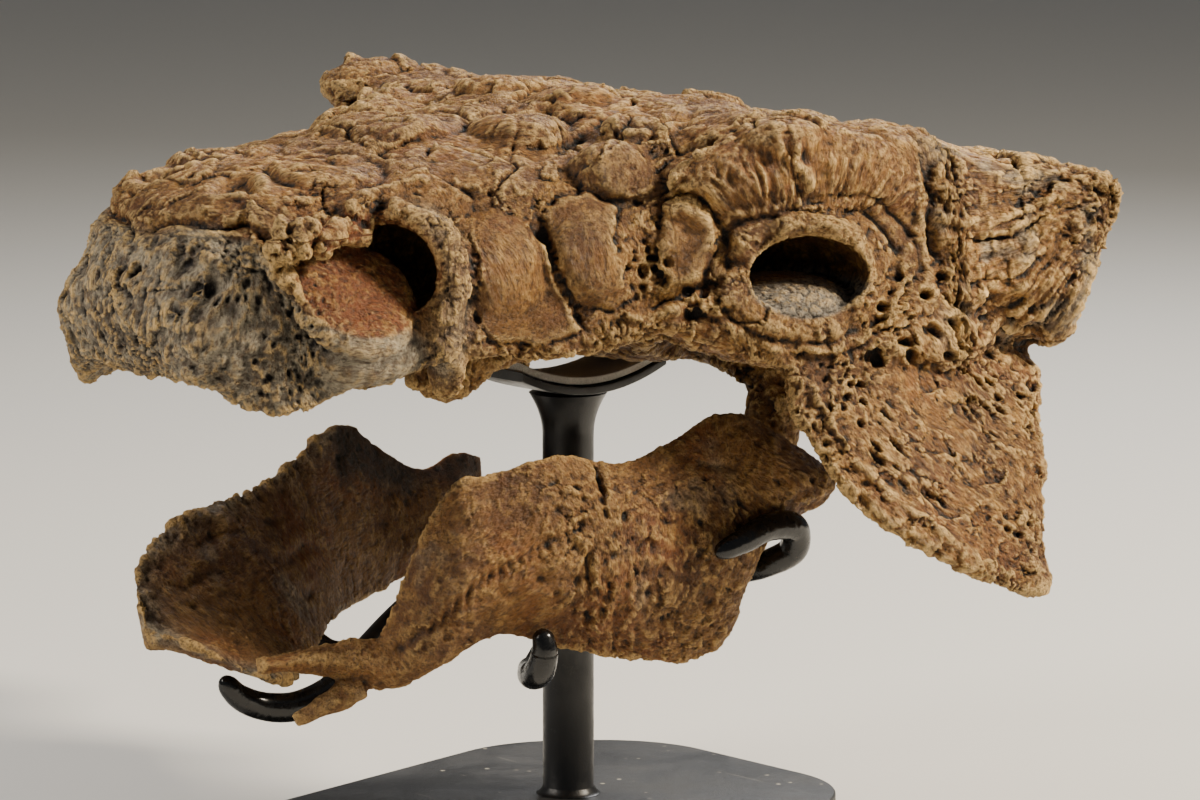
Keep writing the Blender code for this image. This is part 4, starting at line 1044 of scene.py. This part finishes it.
def tintJaw(piece):
    points = pointsOf(piece)
    x, y, z = points.T
    drift = lumps(points, .014, 144) * .012
    jawShadow = blend(-.072, -.052, y + drift) * blend(.142, .164, z + .15 * y + drift) * blend(-.09, -.1, x)
    jawShadow *= blend(.1, .6, normalsOf(piece)[:, 0])
    # painted shadow: the upper rear of the right half's inside, over the muscle's hollow, is darkened where the
    # skull's shadow falls, by lowering its relief
    paint(piece, "relief", painted(piece, "relief") * (1 - .62 * jawShadow))
    drift = lumps(points, .024, 141)
    patches = blend(.45, .8, drift + .3 * lumps(points, .007, 142))
    paint(piece, "grey", np.clip(rimOf(points) * (.8 + .5 * drift) + .35 * patches, 0, 1))
    paint(piece, "iron", blend(-.1, .7, lumps(points, .028, 143)) * .55)
    paint(piece, "stone", np.zeros(len(points)))


# materials

def toLinear(hexColour):
    # sRGB to linear: a straight line below 0.04045, a power of 2.4 above it
    values = [int(hexColour[k:k + 2], 16) / 255 for k in (0, 2, 4)]
    return (*[v / 12.92 if v <= .04045 else ((v + .055) / 1.055)**2.4 for v in values], 1.0)


def feed(tree, socket, value):
    # gives an input a colour, another node's output or a plain number
    if isinstance(value, bpy.types.NodeSocket):
        tree.links.new(value, socket)
    else:
        socket.default_value = toLinear(value) if isinstance(value, str) else value


def addNode(tree, kind, inputs={}, **words):
    # adds one node, sets its own words and feeds its inputs
    node = tree.nodes.new("ShaderNode" + kind)
    for word, value in words.items():
        setattr(node, word, value)
    for name, value in inputs.items():
        feed(tree, node.inputs[name], value)
    return node


def newMaterial(name):
    made = bpy.data.materials.new(name)
    made.use_nodes = True
    return made, made.node_tree


def objectPlace(tree):
    return addNode(tree, "TexCoord").outputs["Object"]


def noise(tree, place, size, detail, **others):
    # random values round one half, in lumps of the given size in metres and finer ones
    inputs = {"Vector": place, "Scale": 1 / size, "Detail": detail, **others}
    return addNode(tree, "TexNoise", inputs).outputs[0]


def voronoi(tree, place, size, feature="F1"):
    # distance to the nearest middle, or the nearest edge, of cells of the given size in metres
    node = addNode(tree, "TexVoronoi", {"Vector": place, "Scale": 1 / size}, feature=feature)
    return node.outputs["Distance"]


def mixColours(tree, share, first, second):
    return addNode(tree, "Mix", {0: share, 6: first, 7: second}, data_type="RGBA").outputs[2]


def rangeOf(tree, value, low, high, start=0.0, end=1.0):
    # a number's range low..high becomes start..end, and stops there
    return addNode(tree, "MapRange", {0: value, 1: low, 2: high, 3: start, 4: end}).outputs[0]


def surface(tree, colour, roughness, relief, **others):
    # feeds the shader; relief is a row of layers, each a height, its depth in metres and its strength
    shader = tree.nodes["Principled BSDF"]
    for name, value in {"Base Color": colour, "Roughness": roughness, **others}.items():
        feed(tree, shader.inputs[name], value)
    below = {}
    for height, depth, strength in relief:
        bump = addNode(tree, "Bump", {"Height": height, "Distance": depth, "Strength": strength, **below})
        below = {"Normal": bump.outputs[0]}
    feed(tree, shader.inputs["Normal"], below["Normal"])


def fossilBone(name, look):
    # mineralised bone: dull, porous, stained by iron; pale on worn edges, dark in its pores and hollows, partly
    # from dirt and partly as painted shade
    made, tree = newMaterial(name)
    place = objectPlace(tree)
    along = addNode(tree, "Attribute", attribute_name="flow").outputs["Vector"]
    relief, iron, grey, stone = [addNode(tree, "Attribute", attribute_name=word).outputs["Fac"]
                                 for word in ("relief", "iron", "grey", "stone")]
    broad = noise(tree, place, .045, 5, Roughness=.6)
    spots = noise(tree, place, .01, 6, Roughness=.68)
    fibres = noise(tree, along, .0024, 3, Roughness=.6)
    grain = noise(tree, along, .002, 5, Roughness=.68)
    pores = voronoi(tree, place, .003)
    cracks = voronoi(tree, along, .011, "DISTANCE_TO_EDGE")
    greyTone = mixColours(tree, rangeOf(tree, spots, .42, .58), look["grey"], look["greyPale"])
    colour = mixColours(tree, rangeOf(tree, broad, .4, .6), look["base"], look["deep"])
    colour = mixColours(tree, iron, colour, look["iron"])
    colour = mixColours(tree, rangeOf(tree, spots, .5, .66, 0, .8), colour, look["pale"])
    colour = mixColours(tree, rangeOf(tree, grey, 0, 1, 0, .88), colour, greyTone)
    colour = mixColours(tree, stone, colour, look["stone"])
    colour = mixColours(tree, rangeOf(tree, relief, .54, .88, 0, .85), colour, look["worn"])
    colour = mixColours(tree, rangeOf(tree, grain, .52, .36, 0, .8), colour, look["shade"])
    # painted shade and dirt: low relief, in hollows and pores and where the nostril's and jaw's painted shadows
    # lowered it, turns to the dark dirt-and-shade colour
    colour = mixColours(tree, rangeOf(tree, relief, .48, .14), colour, look["dirt"])
    colour = mixColours(tree, rangeOf(tree, pores, .28, .08, 0, .35), colour, look["dirt"])
    layers = ((rangeOf(tree, cracks, 0, .05), .0006, .5), (pores, .0016, 1), (grain, .0048, 1), (fibres, .002, 1))
    surface(tree, colour, rangeOf(tree, spots, .3, .7, .7, .46), layers, IOR=1.5)
    return made


# dirt is the colour of dirt in the pores and of painted shade in the hollows
skullLook = {"base": "98682c", "deep": "70471c", "pale": "c4944a", "iron": "85481a", "grey": "736c5d",
             "greyPale": "b5ac95", "stone": "9c9384", "worn": "f0c881", "shade": "4b2d0f", "dirt": "140b05"}
jawLook = dict(skullLook, base="8d6029", deep="69411a", pale="b68a49", worn="dbb26c", iron="8c4d18")


def paintedSteel():
    # satin black lacquer on welded steel: even, a little orange peel, rubbed grey in places
    made, tree = newMaterial("satinBlackSteel")
    place = objectPlace(tree)
    peel = noise(tree, place, .0012, 3)
    rubbed = noise(tree, place, .014, 8, Roughness=.75)
    colour = mixColours(tree, rangeOf(tree, rubbed, .6, .78), "0e0e0f", "3a3835")
    surface(tree, colour, rangeOf(tree, rubbed, .4, .7, .3, .52), [(peel, .0003, .25)])
    return made


def shrinkSleeve():
    # glossy black heat-shrink tube: smooth, with faint creases across it
    made, tree = newMaterial("heatShrinkRubber")
    folds = noise(tree, objectPlace(tree), .004, 2)
    surface(tree, "0b0b0c", rangeOf(tree, folds, .35, .65, .16, .3), [(folds, .0008, .3)])
    return made


def feltPad():
    # pressed grey wool felt: matt, with short crossing fibres in lumps about 0.8 mm across
    made, tree = newMaterial("greyFelt")
    fibres = noise(tree, objectPlace(tree), .0008, 6, Distortion=2.5)
    colour = mixColours(tree, rangeOf(tree, fibres, .35, .65), "8d897f", "c9c5ba")
    surface(tree, colour, .95, [(fibres, .0006, .8)], **{"Sheen Weight": .35})
    return made


def scuffedPlate():
    # charcoal powder coat on rolled plate: fine-grained, dusty, with pale chips and thin scratches
    made, tree = newMaterial("charcoalPowderCoat")
    place = objectPlace(tree)
    dust = noise(tree, place, .05, 8, Roughness=.7)
    grain = noise(tree, place, .0009, 3)
    few = noise(tree, place, .035, 2)
    long = addNode(tree, "Mapping", {"Vector": place, "Scale": (4.0, 60.0, 60.0), "Rotation": (0, 0, .6)})
    scratch = noise(tree, long.outputs[0], 1 / 3, 2)
    chip = addNode(tree, "Math", {0: rangeOf(tree, voronoi(tree, place, .011), .14, .08),
                                  1: rangeOf(tree, few, .54, .6)}, operation="MULTIPLY").outputs[0]
    colour = mixColours(tree, rangeOf(tree, dust, .42, .72), "1b1c1e", "3c3c3c")
    colour = mixColours(tree, rangeOf(tree, scratch, .7, .74, 0, .5), colour, "6a6862")
    colour = mixColours(tree, chip, colour, "a8a294")
    surface(tree, colour, rangeOf(tree, dust, .4, .7, .42, .68), [(grain, .0004, .35)])
    return made


skullBone = fossilBone("fossilSkullBone", skullLook)
jawBone = fossilBone("fossilJawBone", jawLook)
steel, rubber, felt, plate = paintedSteel(), shrinkSleeve(), feltPad(), scuffedPlate()
print("materials made")


# bones

whole = buildCranium()
print("cranium melted", len(whole.data.polygons), "faces")
sculptCranium(whole)
print("cranium sculpted")
for word, side in (("Left", 1), ("Right", -1)):
    for name, node, low, high in (("squamosalHorn", "squamosal_horn_", (.15, .098, .256), (.3, .3, .4)),
                                  ("cheekHorn", "cheek_horn_", (.15, -.03, .05), (.35, .3, .252))):
        if side < 0:
            low, high = (-high[0], low[1], low[2]), (-low[0], high[1], high[2])
        horn = partOff(whole, low, high, name + word)
        finishBone(largestOnly(horn), skullBone, [node + word.lower()], tintCranium)
beak = partOff(whole, (-.3, -.4, .1), (.3, -.168, .328), "beakBone")
finishBone(largestOnly(beak), skullBone, ["beak"], tintCranium)
for name, node, low, high in (("muzzleLeft", "muzzle", (0, -.4, .1), (.3, -.052, .45)),
                              ("muzzleRight", "muzzle", (-.3, -.4, .1), (0, -.052, .45)),
                              ("braincaseLeft", "braincase", (0, -.052, .1), (.3, .3, .45))):
    half = partOff(whole, low, high, name)
    finishBone(largestOnly(half), skullBone, [node], tintCranium)
whole.name = "braincaseRight"
finishBone(largestOnly(whole), skullBone, ["braincase"], tintCranium)

leftForms = [jawSkin(jaws["left"], 1), bar(jaws["spur"], (.008, .006, .0035))]
leftJaw = objectOf(meshFrom(leftForms, "leftJaw"), "jawLeft")
leftJaw = ease(melt(leftJaw, jawStep), 6)
sculptJaw(leftJaw)
finishBone(largestOnly(leftJaw), jawBone, ["mandible_left"], tintJaw)
rightJaw = objectOf(meshFrom([jawSkin(jaws["right"], -1)], "rightJaw"), "jawRight")
rightJaw = ease(melt(rightJaw, jawStep), 6)
sculptJaw(rightJaw)
chin = partOff(rightJaw, (-.3, -.4, 0), (.3, -.196, .3), "predentaryBone")
finishBone(largestOnly(chin), jawBone, ["predentary"], tintJaw)
finishBone(largestOnly(rightJaw), jawBone, ["mandible_right"], tintJaw)


# the mount

mount = {
    "postRadius": .0133, "postTop": .2235, "plateThickness": .012, "collarRadius": .0185,
    "collar": (.118, .152), "cradleTop": .229, "cradleHalf": (.022, .048), "cradleRise": .011,
    "cradleThickness": .005, "pad": .005, "corners": ((.062, -.205), (.126, .06), (.075, .127)),
    "cornerRadius": .034, "edge": .0015, "rod": .0045, "sleeve": (.006, .0068, .0075, .0074, .0066, .0048),
}
# how many points of the route the bare rod takes, and the route; the sleeve starts at the rod's last point
arms = {
    "front": (4, ((0, -.012, .146), (.002, -.06, .143), (.006, -.11, .127), (.014, -.15, .106),
        (.015, -.168, .09), (.009, -.184, .083), (.002, -.2, .084), (0, -.214, .091), (0, -.223, .101))),
    "left_low": (3, ((.01, -.007, .13), (.05, -.05, .116), (.088, -.098, .103), (.105, -.11, .104),
        (.118, -.116, .109), (.124, -.118, .119), (.123, -.119, .131))),
    "left_rear": (3, ((.012, .003, .14), (.06, .016, .142), (.112, .01, .142), (.134, .018, .149),
        (.148, .024, .158), (.155, .018, .17), (.157, 0.0, .173), (.158, -.018, .168),
        (.157, -.036, .163))),
    "right_low": (3, ((-.01, -.007, .13), (-.036, -.044, .112), (-.06, -.088, .089), (-.076, -.098, .087),
        (-.09, -.102, .094), (-.099, -.103, .106), (-.105, -.103, .118))),
    "right_rear": (3, ((-.012, .003, .14), (-.06, .02, .136), (-.118, .02, .122), (-.136, .034, .128),
        (-.148, .04, .136), (-.157, .03, .146), (-.16, .01, .148), (-.159, -.014, .145))),
}


def finishMount(grid, name, material, node, looped=False):
    finish(objectOf(meshFrom([grid], name, looped), name), material, [node], 40)


def plateOutline(inset):
    # the base plate's outline: straight sides between circular corners, drawn in by the inset
    corners = np.array(mount["corners"])
    corners = np.concatenate([corners, corners[::-1] * (-1, 1)])
    points = []
    for k, corner in enumerate(corners):
        before, after = corners[k - 1] - corner, corners[(k + 1) % len(corners)] - corner
        before, after = before / np.linalg.norm(before), after / np.linalg.norm(after)
        half = np.arccos(before @ after) / 2
        radius = mount["cornerRadius"] * np.tan(half)
        middle = corner + (before + after) / np.linalg.norm(before + after) * radius / np.sin(half)
        start = corner + before * mount["cornerRadius"] - middle
        end = corner + after * mount["cornerRadius"] - middle
        first = np.arctan2(start[1], start[0])
        sweep = np.arctan2(start[0] * end[1] - start[1] * end[0], start @ end)
        angle = first + sweep * np.linspace(0, 1, 24)
        points.append(middle + (radius - inset) * np.stack([np.cos(angle), np.sin(angle)], 1))
    return np.concatenate(points)


def basePlate():
    # the outline stacked from the floor up, drawn in by a quarter circle at both edges
    edge, top = mount["edge"], mount["plateThickness"]
    angle = np.linspace(0, pi / 2, 6)
    low = [(edge * (1 - sin(a)), edge * (1 - cos(a))) for a in angle]
    high = [(inset, top - height) for inset, height in reversed(low)]
    rings = [np.column_stack([plateOutline(inset), np.full(144, height)]) for inset, height in low + high]
    return np.stack(rings)


def cradleGrid(top, thickness, shrink, rows=49):
    # a strip bent along a shallow parabola, with rounded long edges
    wide, length = mount["cradleHalf"][0] - shrink, mount["cradleHalf"][1] - shrink
    y = np.linspace(-length, length, rows)[:, None]
    a = np.arange(32)[None] * 2 * pi / 32
    ring = np.stack([np.cos(a), np.sin(a)])
    x = wide * np.sign(ring[0]) * np.abs(ring[0])**.25
    z = .5 * thickness * np.sign(ring[1]) * np.abs(ring[1])**.25
    middle = top - .5 * thickness + mount["cradleRise"] * (y / mount["cradleHalf"][1])**2
    return np.stack(np.broadcast_arrays(x, y, middle + z), -1)


radius, top = mount["postRadius"], mount["postTop"]
foot = mount["plateThickness"] + .0003
# the weld at the foot, and the flare under the cradle
bead = [(radius + .0035 - .0035 * t**.6, foot + .004 * t) for t in np.linspace(0, 1, 8)]
flare = [(radius + .007 * t**2, top - .022 + .0217 * t) for t in np.linspace(0, 1, 12)]
post = turned(bead + [(radius, .08), (radius, .15)] + flare)
finishMount(post, "mountPost", steel, "stand_post")
low, high = mount["collar"]
inner, outer = radius + .0003, mount["collarRadius"]
bevel = .001
collar = [(inner, low), (outer - bevel, low), (outer, low + bevel), (outer, high - bevel),
          (outer - bevel, high), (inner, high)]
finishMount(turned(collar), "mountCollar", steel, "stand_collar", looped=True)
finishMount(basePlate(), "mountPlate", plate, "stand_base")
cradle = cradleGrid(mount["cradleTop"], mount["cradleThickness"], 0)
finishMount(cradle, "mountCradle", steel, "stand_cradle")
pad = cradleGrid(mount["cradleTop"] + mount["pad"], mount["pad"] - .0003, .0015)
finishMount(pad, "cradlePad", felt, "stand_cradle_pad")
for word, (split, route) in arms.items():
    title = "".join(part.capitalize() for part in word.split("_"))
    rod = bar(route[:split], (mount["rod"],) * 2, rows=40)
    finishMount(rod, "rod" + title, steel, "stand_arm_" + word)
    sleeve = bar(route[split - 1:], mount["sleeve"], rows=72, rounded=.08)
    finishMount(sleeve, "sleeve" + title, rubber, "stand_sleeve_" + word)
print("mount built")


# floor, light and camera

def floorSweep():
    # a level floor that turns up into a wall behind on a quarter circle
    angle = np.linspace(0, pi / 2, 24)
    y = np.concatenate([[-9.0], 7.0 + 1.5 * np.sin(angle), [8.5]])
    z = np.concatenate([[0.0], 1.5 * (1 - np.cos(angle)), [7.0]])
    x = np.array([-10.0, 10.0])
    grid = np.stack(np.broadcast_arrays(x[:, None], y[None], z[None]), -1)
    points, count = grid.reshape(-1, 3), len(y)
    faces = [(k, k + count, k + count + 1, k + 1) for k in range(count - 1)]
    turn = radians(50)   # the sweep faces the camera
    points = np.stack([points[:, 0] * cos(turn) - points[:, 1] * sin(turn),
                       points[:, 0] * sin(turn) + points[:, 1] * cos(turn), points[:, 2]], 1)
    mesh = bpy.data.meshes.new("studioFloor")
    mesh.from_pydata(points.tolist(), [], faces)
    mesh.polygons.foreach_set("use_smooth", np.ones(len(mesh.polygons), bool))
    return objectOf(mesh, "studioFloor")


floorPiece = floorSweep()
paper, tree = newMaterial("paleStudioPaper")
feed(tree, tree.nodes["Principled BSDF"].inputs["Base Color"], "d6d4cf")
feed(tree, tree.nodes["Principled BSDF"].inputs["Roughness"], .9)
floorPiece.data.materials.append(paper)

view = {"turn": radians(40), "pitch": radians(8.4), "distance": 3.1, "lens": 180, "aside": .0165,
        "height": .219}
rightward = Vector((sin(view["turn"]), cos(view["turn"]), 0))
ahead = Vector((-cos(view["turn"]), sin(view["turn"]), 0)) * cos(view["pitch"])
ahead = ahead - Vector((0, 0, sin(view["pitch"])))
target = rightward * view["aside"] + Vector((0, 0, view["height"]))
lens = bpy.data.cameras.new("camera")
lens.lens = view["lens"]
lens.sensor_width = 36
camera = objectOf(lens, "camera")
camera.location = target - ahead * view["distance"]
camera.rotation_euler = ahead.to_track_quat("-Z", "Y").to_euler()
bpy.context.scene.camera = camera

world = bpy.data.worlds.new("softRoom")
bpy.context.scene.world = world
world.use_nodes = True
background = world.node_tree.nodes["Background"]
background.inputs["Color"].default_value = toLinear("dfe3e8")
background.inputs["Strength"].default_value = .17
for name, aside, back, up, size, power, tone in (("keyLight", 1.75, .25, 1.35, .4, 120, "fff1da"),
                                                 ("fillLight", -1.7, .4, 1.0, .8, 34, "fff6ea"),
                                                 ("rimLight", .6, -1.8, 1.7, 1.0, 30, "ffffff")):
    light = bpy.data.lights.new(name, "AREA")
    light.size = size
    light.energy = power
    light.color = toLinear(tone)[:3]
    lamp = objectOf(light, name)
    lamp.location = target + rightward * aside - ahead * back + Vector((0, 0, up))
    lamp.rotation_euler = (target - lamp.location).to_track_quat("-Z", "Y").to_euler()
print("studio set")
